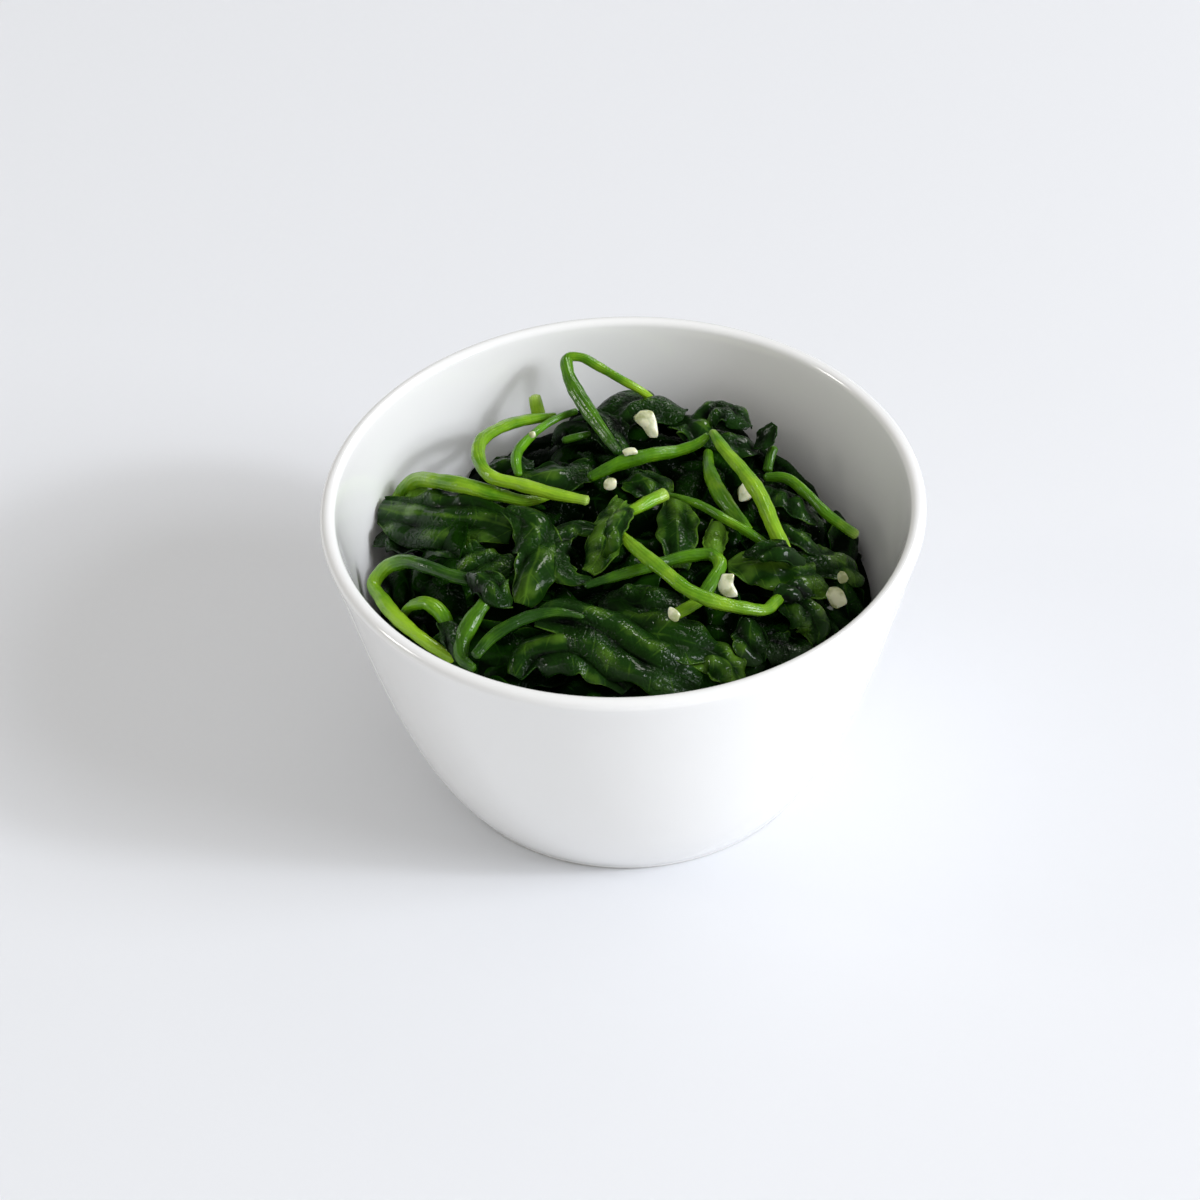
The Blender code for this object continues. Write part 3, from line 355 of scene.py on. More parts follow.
STEMS = {
    "stem_back_loop": [
        (655, 403, 0.0585, 0.00080), (643, 392, 0.0625, 0.00090), (622, 380, 0.0655, 0.00105),
        (598, 366, 0.0670, 0.00110), (580, 357, 0.0680, 0.00115), (569, 357, 0.0680, 0.00125),
        (568, 372, 0.0672, 0.00135), (574, 387, 0.0662, 0.00150), (584, 404, 0.0650, 0.00170),
        (603, 432, 0.0630, 0.00160), (619, 454, 0.0615, 0.00090)],
    "stem_back_hook": [
        (556, 416, 0.0590, 0.00100), (530, 419, 0.0610, 0.00130), (502, 427, 0.0635, 0.00145),
        (482, 440, 0.0645, 0.00150), (479, 460, 0.0650, 0.00150), (492, 477, 0.0650, 0.00155),
        (518, 484, 0.0645, 0.00150), (555, 494, 0.0640, 0.00150), (589, 501, 0.0635, 0.00125)],
    "stem_left_arc": [
        (390, 509, 0.0520, 0.00120), (396, 495, 0.0525, 0.00145), (412, 483, 0.0555, 0.00165),
        (436, 481, 0.0600, 0.00180), (466, 486, 0.0620, 0.00185), (500, 495, 0.0612, 0.00165),
        (528, 501, 0.0604, 0.00130), (550, 496, 0.0592, 0.00080)],
    "stem_back_stub": [
        (534, 395, 0.0620, 0.00120), (536, 404, 0.0600, 0.00140), (539, 416, 0.0575, 0.00140)],
    "stem_back_fold": [
        (577, 411, 0.0605, 0.00070), (560, 417, 0.0615, 0.00090), (545, 425, 0.0615, 0.00095),
        (530, 437, 0.0615, 0.00105), (519, 449, 0.0615, 0.00110), (516, 462, 0.0620, 0.00105),
        (519, 476, 0.0610, 0.00085)],
    "stem_left_hook": [
        (484, 583, 0.0610, 0.00130), (456, 577, 0.0610, 0.00145), (430, 568, 0.0610, 0.00155),
        (404, 562, 0.0590, 0.00150), (386, 568, 0.0565, 0.00160), (374, 582, 0.0540, 0.00155),
        (382, 600, 0.0542, 0.00165), (397, 618, 0.0547, 0.00155), (421, 638, 0.0547, 0.00145),
        (454, 660, 0.0525, 0.00115)],
    "stem_left_short": [
        (401, 617, 0.0510, 0.00095), (413, 605, 0.0560, 0.00140), (427, 603, 0.0580, 0.00175),
        (440, 612, 0.0575, 0.00180), (452, 638, 0.0545, 0.00120)],
    "stem_front_left": [
        (499, 583, 0.0620, 0.00100), (486, 601, 0.0615, 0.00140), (470, 624, 0.0595, 0.00180),
        (461, 645, 0.0570, 0.00165), (462, 659, 0.0555, 0.00150), (475, 670, 0.0545, 0.00100)],
    "stem_front_leaf": [
        (474, 657, 0.0580, 0.00100), (492, 637, 0.0600, 0.00135), (512, 624, 0.0615, 0.00150),
        (532, 616, 0.0618, 0.00140), (556, 612, 0.0622, 0.00095), (584, 617, 0.0615, 0.00045)],
    "stem_right_bend": [
        (584, 586, 0.0615, 0.00090), (620, 575, 0.0625, 0.00125), (655, 565, 0.0625, 0.00140),
        (690, 556, 0.0625, 0.00140), (712, 555, 0.0625, 0.00135), (720, 563, 0.0625, 0.00140),
        (712, 581, 0.0620, 0.00145), (699, 600, 0.0605, 0.00140), (673, 616, 0.0590, 0.00115)],
    "stem_long_diagonal": [
        (619, 533, 0.0655, 0.00110), (640, 552, 0.0665, 0.00145), (664, 571, 0.0670, 0.00155),
        (690, 591, 0.0660, 0.00150), (716, 602, 0.0640, 0.00150), (744, 608, 0.0620, 0.00140),
        (765, 610, 0.0600, 0.00130), (775, 602, 0.0585, 0.00120), (786, 592, 0.0555, 0.00110),
        (796, 588, 0.0530, 0.00090)],
    "stem_pale_stub": [
        (667, 493, 0.0635, 0.00160), (650, 501, 0.0635, 0.00155), (635, 509, 0.0635, 0.00140),
        (620, 515, 0.0625, 0.00110)],
    "stem_peak_left": [
        (588, 478, 0.0610, 0.00120), (620, 463, 0.0630, 0.00160), (650, 455, 0.0635, 0.00165),
        (680, 450, 0.0630, 0.00145), (698, 443, 0.0640, 0.00120), (709, 434, 0.0652, 0.00070)],
    "stem_peak_right": [
        (712, 431, 0.0660, 0.00080), (725, 450, 0.0665, 0.00135), (744, 472, 0.0665, 0.00150),
        (762, 499, 0.0655, 0.00180), (775, 530, 0.0630, 0.00190), (785, 552, 0.0595, 0.00160)],
    "stem_under_peak": [
        (708, 453, 0.0570, 0.00120), (709, 470, 0.0595, 0.00160), (718, 492, 0.0605, 0.00175),
        (733, 513, 0.0598, 0.00170), (748, 533, 0.0575, 0.00140)],
    "stem_thin_crossing": [
        (664, 493, 0.0590, 0.00040), (682, 498, 0.0622, 0.00075), (700, 505, 0.0635, 0.00095),
        (725, 519, 0.0640, 0.00105), (748, 532, 0.0620, 0.00105), (766, 544, 0.0595, 0.00090)],
    "stem_right_free": [
        (764, 477, 0.0585, 0.00090), (785, 478, 0.0590, 0.00120), (806, 493, 0.0590, 0.00130),
        (830, 516, 0.0575, 0.00130), (858, 536, 0.0540, 0.00115)],
    "stem_right_upright": [
        (774, 446, 0.0580, 0.00105), (770, 458, 0.0565, 0.00115), (767, 472, 0.0550, 0.00100)],
    "stem_back_bit": [
        (562, 441, 0.0605, 0.00075), (580, 436, 0.0610, 0.00100), (596, 433, 0.0595, 0.00070)],
}
# The tone at each stem's start and end: the stem's own colour, and painted shade where a stem
# lies in shade or under a leaf, as at stem_front_leaf and the start of stem_left_hook. Past 0
# or 1, that end keeps its tone for a stretch.
STEM_TONES_AND_SHADE = {
    "stem_back_loop": (1.00, 0.05),
    "stem_back_hook": (0.68, 1.00),
    "stem_left_arc": (0.80, 0.65),
    "stem_back_stub": (1.00, 0.85),
    "stem_back_fold": (0.25, 0.50),
    "stem_left_hook": (-0.30, 1.60),
    "stem_left_short": (0.70, 0.40),
    "stem_front_left": (0.30, 0.25),
    "stem_front_leaf": (0.12, -0.10),
    "stem_right_bend": (0.05, 0.75),
    "stem_long_diagonal": (0.75, 0.65),
    "stem_pale_stub": (0.90, 0.65),
    "stem_peak_left": (0.35, 0.60),
    "stem_peak_right": (0.65, 0.95),
    "stem_under_peak": (0.50, 0.62),
    "stem_thin_crossing": (0.60, 0.50),
    "stem_right_free": (0.35, 0.65),
    "stem_right_upright": (0.30, 0.20),
    "stem_back_bit": (0.15, 0.05),
}
# 1 where a knife cut the start or the end.
STEM_CUTS = {
    "stem_back_hook": (0, 1), "stem_pale_stub": (1, 0), "stem_right_free": (0, 1),
    "stem_back_stub": (1, 0), "stem_peak_right": (1, 0),
}
PALE_STEMS = ("stem_pale_stub", "stem_back_fold", "stem_back_stub")


def seen_at(place):
    """The point at the given height on a pixel's sight line."""
    px, py, height = place[:3]
    across = (px - PHOTO_MIDDLE) / PHOTO_FOCAL_PIXELS
    down = (py - PHOTO_MIDDLE) / PHOTO_FOCAL_PIXELS
    line = FORWARD + RIGHT * across - UP * down
    return EYE + line * (height - EYE[2]) / line[2]


def keep_inside(points, margin):
    """Points that would pass the bowl's wall, pressed back to a margin from it."""
    points = np.array(points)
    reach = np.hypot(points[..., 0], points[..., 1])
    most = inner_radius(points[..., 2]) - margin
    points[..., :2] *= np.where(reach > most, most / np.maximum(reach, 1e-9), 1.0)[..., None]
    return points


def smooth_route(points, count):
    """Evenly spaced points on a smooth curve through the given ones (cubic between each two)."""
    points = np.asarray(points, float)
    steps = np.linalg.norm(np.diff(points, axis=0), axis=1)
    chord = np.concatenate([[0.0], np.cumsum(steps)])
    slope = np.gradient(points, chord, axis=0)
    fine = np.linspace(0.0, chord[-1], 12 * count)
    span = np.clip(np.searchsorted(chord, fine, side="right") - 1, 0, len(steps) - 1)
    s = ((fine - chord[span]) / steps[span])[:, None]
    h = steps[span][:, None]
    curve = ((2 * s ** 3 - 3 * s ** 2 + 1) * points[span]
             + (s ** 3 - 2 * s ** 2 + s) * h * slope[span]
             + (3 * s ** 2 - 2 * s ** 3) * points[span + 1]
             + (s ** 3 - s ** 2) * h * slope[span + 1])
    walked = np.concatenate([[0.0], np.cumsum(np.linalg.norm(np.diff(curve, axis=0), axis=1))])
    even = np.linspace(0.0, walked[-1], count)
    return np.column_stack([np.interp(even, walked, curve[:, axis]) for axis in range(3)])


def direction(vectors):
    """The same vectors at unit length."""
    return vectors / np.linalg.norm(vectors, axis=-1, keepdims=True)


def stem_grid(tones, cuts, route, draw):
    """A ribbed tube. Round the section, the radius rises and falls in five broad ribs and
    eleven fine ones, with a shallow groove along the top, and the section is a little flat.
    Along the route it follows the radii of the route, uneven by a few hundredths, and closes
    to a rounded end. Also gives each point's tone, and how near it is to a pale cut end."""
    radii = [place[3] for place in route]
    places = keep_inside([seen_at(place) for place in route], max(radii) + STEM_WALL_GAP)
    length = np.linalg.norm(np.diff(places, axis=0), axis=1).sum()
    count = max(12, int(length / STEM_RING_SPACING))
    line = smooth_route(places, count)
    marks = np.concatenate([[0.0], np.cumsum(np.linalg.norm(np.diff(places, axis=0), axis=1))])
    walked = np.linspace(0.0, marks[-1], count)
    radius = np.interp(walked, marks, radii)
    radius = np.convolve(np.pad(radius, 6, mode="edge"), np.ones(13) / 13, mode="valid")[:, None]
    walked = walked[:, None]
    along = direction(np.gradient(line, axis=0))
    top = direction(np.array([0.0, 0.15, 1.0]) - along * along[:, 2:])
    top = direction(top - along * np.sum(top * along, axis=1)[:, None])
    side = np.cross(top, along)
    turn = np.linspace(0.0, 2 * math.pi, STEM_SIDES, endpoint=False)
    phase = draw.uniform(0, FULL_TURN, 6)
    twist = turn + phase[0] + STEM_TWIST * walked * draw.uniform(-1, 1)
    from_groove = np.angle(np.exp(1j * (twist - GROOVE_PLACE))) / GROOVE_WIDTH
    ribs = (BROAD_RIB_HEIGHT * np.cos(BROAD_RIBS * twist)
            + FINE_RIB_HEIGHT * np.cos(FINE_RIBS * twist + phase[1])
            - GROOVE_DEPTH * np.exp(-from_groove ** 2))
    swell = 1.0 + sum(height * np.sin(rate * walked + start)
                      for (height, rate), start in zip(STEM_SWELLS, phase[2:5]))
    share = np.minimum(walked, marks[-1] - walked) / (STEM_END_SHARE * radius)
    close = np.sqrt(np.clip(1.0 - (1.0 - np.clip(share, 0.0, 1.0)) ** 2, 0.25, 1.0))
    reach = radius * swell * close * (1.0 + ribs)
    flat = STEM_FLATNESS * np.sin(150 * walked + phase[5])
    points = (line[:, None, :] + side[:, None, :] * (reach * (1.03 + flat) * np.cos(turn))[..., None]
              + top[:, None, :] * (reach * (0.95 - flat) * np.sin(turn))[..., None])
    spread = np.stack(np.meshgrid(walked[:, 0], np.linspace(0, 1, STEM_SIDES + 1),
                                  indexing="ij"), axis=-1)
    spread[..., 1] += twist[:, :1] / (2 * math.pi)
    share = walked / marks[-1] + 0.10 * np.sin(300 * walked + phase[1])
    # The tone holds the stem's own colour, and painted shade where the stem lies in shade or under a
    # leaf.
    tone = np.clip(tones[0] + (tones[1] - tones[0]) * share, 0.0, 1.0)
    cut = cuts[0] * np.exp(-walked / CUT_FADE) + cuts[1] * np.exp((walked - marks[-1]) / CUT_FADE)
    round_the_ring = np.ones(STEM_SIDES)
    return points, spread, tone * round_the_ring, cut * round_the_ring


def three_tones(tree, share, first, middle, last, halfway):
    """A colour that runs from the first over the middle one, met at halfway, to the last."""
    made = node(tree, "ValToRGB", [("Fac", share)])
    ramp = made.color_ramp
    ramp.elements[0].color = (*first, 1.0)
    ramp.elements[1].color = (*last, 1.0)
    ramp.elements.new(halfway).color = (*middle, 1.0)
    return made.outputs[0]


def stem_finish(name, lift):
    """Wet cooked stem. Its tone runs from deep green to yellow green, blotched and with fine
    pale fibres along it, and turns pale at the cuts. The fibres follow the UV map, which
    holds the way walked and the turn."""
    material, tree, shader = finish_of(name, Roughness=0.45, Specular_IOR_Level=0.15,
                                       Coat_Weight=0.70, Coat_Roughness=0.05,
                                       Subsurface_Weight=0.15, Subsurface_Scale=0.0012)
    shader.inputs["Subsurface Radius"].default_value = (0.7, 1.0, 0.12)
    place = node(tree, "TexCoord")
    run = node(tree, "SeparateXYZ", [(0, place.outputs["UV"])])
    blotch = cloud(tree, place.outputs["Object"], 190.0, 3.0)
    turned = worked_out(tree, "MULTIPLY", run.outputs["Y"], 2 * math.pi * STEM_FIBRES)
    fibre = worked_out(tree, "SINE", worked_out(tree, "MULTIPLY_ADD", blotch, 9.0, turned))
    tone = node(tree, "Attribute", attribute_name="tone").outputs["Fac"]
    uneven = worked_out(tree, "ADD", tone, between(tree, blotch, 0.3, 0.7, -0.22, 0.20))
    streaked = worked_out(tree, "MULTIPLY_ADD", fibre, 0.035, uneven, use_clamp=True)
    body = three_tones(tree, streaked, lifted(STEM_DEEP, lift), lifted(STEM_BRIGHT, lift),
                       STEM_YELLOW, 0.55)
    cut = node(tree, "Attribute", attribute_name="cut").outputs["Fac"]
    whole = blended(tree, worked_out(tree, "MULTIPLY", cut, 0.55), body, STEM_PALE)
    grain = cloud(tree, place.outputs["Object"], 1300.0, 2.0)
    relief = worked_out(tree, "MULTIPLY_ADD", fibre, 0.16, grain)
    bump = node(tree, "Bump", [("Height", relief), ("Strength", 0.75), ("Distance", 0.00016)])
    tree.links.new(whole, shader.inputs["Base Color"])
    tree.links.new(bump.outputs[0], shader.inputs["Normal"])
    tree.links.new(bump.outputs[0], shader.inputs["Coat Normal"])
    return material


def add_values(mesh, **values):
    """Puts one number a point on the mesh for each name."""
    for name, numbers in values.items():
        made = mesh.attributes.new(name, "FLOAT", "POINT")
        made.data.foreach_set("value", np.ravel(numbers).astype(np.float32))


stem_skin = stem_finish("stem_skin", 1.0)
pale_skin = stem_finish("pale_stem_skin", 1.45)
for index, (name, route) in enumerate(STEMS.items()):
    points, spread, tone, cut = stem_grid(STEM_TONES_AND_SHADE[name], STEM_CUTS.get(name, (0, 0)), route,
                                          np.random.default_rng(STEM_DRAW + index))
    pale = name in PALE_STEMS
    mesh = grid_mesh(name, points, wrap=True, caps=True, spread=spread)
    add_values(mesh, tone=tone, cut=cut)
    piece = put(name + "_ribbed", mesh, pale_skin if pale else stem_skin)
    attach(piece, "root")
    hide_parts(name)

# The garlic: raw cloves chopped small and cooked with the leaves, ivory, moist and a little
# see-through. Each bit is a chip with worn edges and uneven faces. It has its height over the
# table, its thickness, and its outline in pixels of the photograph.
GARLIC = {
    "garlic_back_wedge": (0.0635, 0.0026, [
        (635, 419), (641, 410), (651, 409), (655, 417), (658, 434), (655, 440), (649, 437),
        (643, 428)]),
    "garlic_under_peak": (0.0595, 0.0022, [
        (743, 483), (750, 484), (753, 492), (749, 500), (739, 501), (738, 494)]),
    "garlic_right_block": (0.0615, 0.0022, [
        (723, 573), (733, 572), (734, 584), (737, 597), (728, 598), (719, 591), (718, 587)]),
    "garlic_right_slice": (0.0530, 0.0030, [
        (829, 588), (836, 587), (843, 593), (847, 602), (842, 609), (835, 608), (828, 600),
        (826, 593)]),
    "garlic_far_right_bit": (0.0545, 0.0018, [
        (841, 570), (846, 574), (848, 580), (842, 584), (838, 580), (838, 573)]),
    "garlic_front_bit": (0.0620, 0.0018, [
        (670, 607), (675, 609), (681, 618), (677, 621), (669, 617)]),
    "garlic_back_bit": (0.0655, 0.0012, [
        (530, 431), (535, 432), (536, 436), (532, 438), (529, 435)]),
    "garlic_back_sliver": (0.0660, 0.0014, [
        (622, 452), (629, 448), (637, 449), (638, 453), (630, 455), (624, 456)]),
    "garlic_deep_bit": (0.0615, 0.0018, [
        (604, 483), (609, 478), (616, 480), (616, 487), (609, 490), (604, 488)]),
}
GARLIC_EDGE = 0.12
GARLIC_SIDES = 48
GARLIC_RINGS = 25
GARLIC_PARED = 7
GARLIC_WAVES = 2200.0
GARLIC_UNEVEN = 0.045
GARLIC_DRAW = 300
GARLIC_IVORY = (0.70, 0.71, 0.50)
GARLIC_DEEP = (0.36, 0.40, 0.19)


def garlic_grid(height, thickness, outline, draw):
    """A chip: its outline, rounded by a closed smooth curve and pared flat from seven sides,
    carried from its near face to its far one. The edge of each face turns in as a quarter of an
    ellipse, and three slow waves make the whole uneven."""
    corners = np.array([seen_at((px, py, height)) for px, py in outline])
    middle = corners.mean(axis=0)
    toward = direction(EYE - middle)
    corners -= toward * ((corners - middle) @ toward)[:, None]
    ring = smooth_route(np.vstack([corners[-2:], corners, corners[:2]]),
                        12 * (len(corners) + 3) + 1)[18:-18]
    angle = np.unwrap(np.arctan2((ring - middle) @ np.cross(toward, RIGHT), (ring - middle) @ RIGHT))
    order = np.argsort(angle)
    even = np.linspace(angle[order][0], angle[order][0] + 2 * math.pi, GARLIC_SIDES,
                       endpoint=False)
    reach = np.interp(even, angle[order], np.linalg.norm(ring - middle, axis=1)[order],
                      period=2 * math.pi)
    facing = draw.uniform(0, 2 * math.pi, GARLIC_PARED)[:, None]
    distance = reach.max() * draw.uniform(0.72, 1.0, GARLIC_PARED)[:, None]
    flattened = distance / np.maximum(np.cos(even - facing), 0.05)
    reach = np.minimum(reach, flattened.min(axis=0))
    step = np.linspace(-1.0, 1.0, GARLIC_RINGS)[:, None]
    inset = (1.0 - np.clip((np.abs(step) - (1 - GARLIC_EDGE)) / GARLIC_EDGE, 0.0, 1.0) ** 2.2) ** 0.5
    inset = np.maximum(inset, 0.02)
    depth = -thickness * (step + 1.0) / 2.0
    flat = (RIGHT * np.cos(even)[:, None] + np.cross(toward, RIGHT) * np.sin(even)[:, None])
    points = (middle + flat[None] * (reach * inset)[..., None] + toward * depth[..., None])
    waves = draw.uniform(-1, 1, (3, 3)) * GARLIC_WAVES
    uneven = sum(np.sin((points - middle) @ wave + 2.0 * number)
                 for number, wave in enumerate(waves))
    return (middle + (points - middle) * (1.0 + GARLIC_UNEVEN * uneven[..., None]))[::-1]


def garlic_finish():
    """Moist ivory flesh: light passes a little way in, with faint fibres and a wet coat."""
    material, tree, shader = finish_of("garlic_flesh", Roughness=0.32, Coat_Weight=0.35,
                                       Coat_Roughness=0.12, Subsurface_Weight=0.6,
                                       Subsurface_Scale=0.0015)
    shader.inputs["Subsurface Radius"].default_value = (1.0, 0.8, 0.5)
    place = node(tree, "TexCoord").outputs["Object"]
    fibre = cloud(tree, place, 420.0, 5.0)
    ivory = blended(tree, between(tree, fibre, 0.36, 0.56), GARLIC_DEEP, GARLIC_IVORY)
    bump = node(tree, "Bump", [("Height", fibre), ("Strength", 0.4), ("Distance", 0.0002)])
    tree.links.new(ivory, shader.inputs["Base Color"])
    tree.links.new(bump.outputs[0], shader.inputs["Normal"])
    return material


garlic_flesh = garlic_finish()
for index, (name, (height, thickness, outline)) in enumerate(GARLIC.items()):
    points = garlic_grid(height, thickness, outline, np.random.default_rng(GARLIC_DRAW + index))
    piece = put(name + "_chip", grid_mesh(name, points, wrap=True, caps=True), garlic_flesh)
    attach(piece, "root")
    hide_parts(name)

# The leaves that show: wilted spinach blades, thin, dark, wet and limp. Each follows its
# midrib over the heap, bends down on both sides, lies in lengthwise pleats and fine creases,
# and has a waved edge. Painted light makes the creases lighter on their crests, and painted shade makes
# them darker in their valleys.
HEAP_EDGE_HEIGHT = 0.0435
HEAP_RISE = 0.0150
HEAP_RADIUS = 0.0590
HEAP_TILT_X = -0.050
HEAP_TILT_Y = 0.080
BLADE_SPACING = 0.00040
BLADE_SKIN = 0.0003
BLADE_WALL_GAP = 0.0008
BLADE_DRAW = 1500
FOLD_LEAST = 0.0042
FOLD_HEIGHT = 0.105
FOLD_PINCH = 0.45
CREASE_SHARE = 0.36
CREASE_SHARPNESS = 0.97
EDGE_CURL = 0.0006
EDGE_CURL_FROM = 0.78
HALF_TURN = 3.14
PLEATS = ((0.0030, 0.0042, 0.14), (0.0015, 0.0020, 0.12))
PILLOW_HEIGHT = 0.07
WRINKLE_GAP = 0.0013
WRINKLE_HEIGHT = 0.058
RIPPLE_MEAN = 0.64
VEIN_SPACING = 0.0046
VEIN_SLANT = 0.0040
# How much darker a leaf is painted, as painted shade, for each metre it lies sunk below the heap's mean
# surface.
SUNK_PAINTED_SHADE = 50.0
USUAL_TONE = 0.15
# Leaf colours, dark to light. The black is painted shade for folds, sunk leaves and gaps. The light
# green is paler leaf, and also painted light on crests.
LEAF_SHADE_BLACK = (0.0006, 0.0030, 0.0004)
LEAF_DEEP = (0.0075, 0.0360, 0.0014)
LEAF_LIGHT = (0.1050, 0.2300, 0.0160)
# Each has its midrib as (px, py, height), then its half width, how far its sides bend down in
# radians, its lean in degrees, and the number and height of the waves at its edge.
BLADES = {
    "blade_left_large": ([(514, 530, 0.0610), (485, 519, 0.0610), (450, 516, 0.0600),
                          (415, 514, 0.0570), (379, 508, 0.0535)], 0.0080, 0.45, 8, 3, 0.0007),
    "blade_left_edge": ([(445, 541, 0.0555), (412, 535, 0.0540), (388, 532, 0.0520),
                         (372, 541, 0.0495)], 0.0050, 0.60, 0, 2, 0.0005),
    "blade_left_inner": ([(512, 567, 0.0595), (480, 561, 0.0595), (450, 556, 0.0575),
                          (428, 549, 0.0550)], 0.0055, 0.55, 5, 2, 0.0006),
    "blade_centre_drape": ([(507, 506, 0.0650), (531, 521, 0.0650), (540, 548, 0.0635),
                            (530, 578, 0.0625), (522, 604, 0.0595)], 0.0060, 0.90, 0, 2, 0.0007),
    "blade_curl": ([(598, 531, 0.0605), (576, 525, 0.0620), (558, 539, 0.0625),
                    (558, 562, 0.0625), (574, 577, 0.0615), (592, 578, 0.0600)],
                   0.0034, 0.80, 0, 1, 0.0004),
    "blade_centre_ridge": ([(623, 500, 0.0600), (612, 516, 0.0615), (604, 536, 0.0615),
                            (597, 559, 0.0610), (588, 572, 0.0600)], 0.0042, 0.80, 0, 1, 0.0004),
    "blade_back_left": ([(592, 468, 0.0585), (566, 472, 0.0595), (541, 474, 0.0595),
                         (521, 478, 0.0590)], 0.0060, 0.50, -6, 2, 0.0006),
    "blade_back_centre": ([(598, 410, 0.0600), (625, 401, 0.0615), (655, 402, 0.0615),
                           (686, 412, 0.0600)], 0.0072, 0.60, -10, 2, 0.0006),
    "blade_back_right": ([(690, 416, 0.0590), (712, 404, 0.0615), (735, 408, 0.0610),
                          (752, 426, 0.0585)], 0.0068, 1.00, 0, 2, 0.0007),
    "blade_back_right_low": ([(698, 441, 0.0575), (722, 434, 0.0590), (743, 441, 0.0585),
                              (757, 454, 0.0570)], 0.0055, 0.90, 0, 2, 0.0006),
    "blade_back_right_tip": ([(754, 448, 0.0580), (764, 438, 0.0600), (774, 424, 0.0625)],
                             0.0026, 0.50, 0, 1, 0.0003),
    "blade_olive": ([(675, 495, 0.0588), (677, 513, 0.0597), (678, 538, 0.0598),
                     (680, 568, 0.0578)], 0.0046, 0.50, 0, 1, 0.0003),
    "blade_small_bright": ([(718, 522, 0.0580), (716, 534, 0.0585), (715, 546, 0.0585),
                            (716, 556, 0.0575)], 0.0030, 0.60, 0, 1, 0.0003),
    "blade_front_long": ([(534, 617, 0.0595), (562, 613, 0.0605), (592, 622, 0.0605),
                          (622, 638, 0.0590), (652, 656, 0.0575), (680, 673, 0.0545),
                          (702, 683, 0.0520)], 0.0080, 0.75, 0, 3, 0.0007),
    "blade_front_low": ([(514, 676, 0.0525), (527, 654, 0.0555), (555, 646, 0.0575),
                         (588, 650, 0.0570), (612, 668, 0.0550), (630, 688, 0.0525)],
                        0.0062, 0.85, 0, 2, 0.0006),
    "blade_front_right": ([(596, 622, 0.0565), (626, 626, 0.0575), (660, 632, 0.0575),
                           (694, 641, 0.0565), (722, 650, 0.0540)], 0.0070, 0.60, 0, 3, 0.0006),
    "blade_front_crumple": ([(690, 660, 0.0535), (712, 655, 0.0545), (730, 666, 0.0530),
                             (744, 681, 0.0495)], 0.0050, 0.80, 0, 3, 0.0008),
    "blade_right_hanging": ([(750, 619, 0.0560), (751, 634, 0.0550), (755, 650, 0.0535),
                             (761, 664, 0.0510)], 0.0045, 0.70, 0, 2, 0.0005),
    "blade_right_bulge": ([(780, 602, 0.0555), (798, 603, 0.0560), (813, 612, 0.0540),
                           (820, 628, 0.0510), (818, 644, 0.0475)], 0.0056, 0.90, 0, 2, 0.0006),
    "blade_right_upper": ([(728, 564, 0.0575), (758, 562, 0.0580), (788, 567, 0.0570),
                           (813, 578, 0.0550), (830, 590, 0.0515)], 0.0064, 0.75, 0, 3, 0.0006),
    "blade_far_right": ([(793, 553, 0.0545), (820, 557, 0.0540), (846, 563, 0.0510),
                         (864, 580, 0.0465)], 0.0052, 0.80, 0, 2, 0.0005),
    "blade_right_back": ([(776, 494, 0.0545), (793, 507, 0.0550), (812, 517, 0.0535),
                          (827, 532, 0.0505)], 0.0052, 0.70, 0, 2, 0.0005),
    "blade_centre_glossy": ([(622, 484, 0.0590), (640, 480, 0.0600), (656, 482, 0.0595),
                             (668, 494, 0.0580)], 0.0050, 0.80, 0, 1, 0.0005),
    "blade_centre_dark": ([(598, 603, 0.0570), (630, 600, 0.0580), (660, 599, 0.0575),
                           (690, 605, 0.0560)], 0.0060, 0.65, 0, 2, 0.0006),
    "blade_back_middle": ([(668, 424, 0.0590), (690, 419, 0.0602), (705, 429, 0.0600),
                           (716, 444, 0.0580)], 0.0060, 0.80, 0, 2, 0.0006),
    "blade_loop_leaf": ([(594, 408, 0.0620), (606, 422, 0.0622), (617, 438, 0.0612),
                         (626, 453, 0.0595)], 0.0046, 0.70, 0, 1, 0.0005),
    "blade_right_low": ([(762, 640, 0.0525), (786, 648, 0.0510), (808, 653, 0.0480),
                         (822, 655, 0.0450)], 0.0052, 0.70, 0, 2, 0.0006),
}
YOUNG_BLADES = ("blade_olive", "blade_small_bright", "blade_front_crumple")
BLADE_TONES = {
    "blade_left_large": 0.32, "blade_left_inner": 0.32, "blade_centre_ridge": 0.50,
    "blade_back_left": 0.30, "blade_front_long": 0.26, "blade_front_low": 0.26,
    "blade_front_right": 0.28, "blade_olive": 0.44, "blade_small_bright": 0.85,
    "blade_front_crumple": 0.48, "blade_right_upper": 0.56, "blade_far_right": 0.36,
    "blade_right_hanging": 0.20, "blade_right_bulge": 0.42, "blade_centre_glossy": 0.36,
    "blade_centre_drape": 0.36, "blade_curl": 0.20,
}
# The width of each leaf's folds as a share of its half width, and their depth. Where the folds
# run straight, their phase at the midrib comes last.
BLADE_FOLDS = {
    "blade_olive": (0.91, 1.0, 0.0), "blade_small_bright": (1.3, 1.3, 0.0),
    "blade_left_large": (0.80, 1.2, 0.5), "blade_front_long": (1.05, 1.7, -2.2),
    "blade_front_low": (0.95, 1.5, -1.8), "blade_front_right": (1.2, 1.1, -2.6),
    "blade_back_left": (1.4, 0.6),
    "blade_back_right": (0.64, 1.5), "blade_back_right_tip": (1.7, 0.4),
    "blade_back_right_low": (0.8, 1.2), "blade_front_crumple": (0.9, 1.3),
    "blade_right_upper": (0.9, 1.3), "blade_right_bulge": (0.9, 1.3), "blade_curl": (1.3, 1.0),
}
USUAL_FOLDS = (1.1, 1.0)


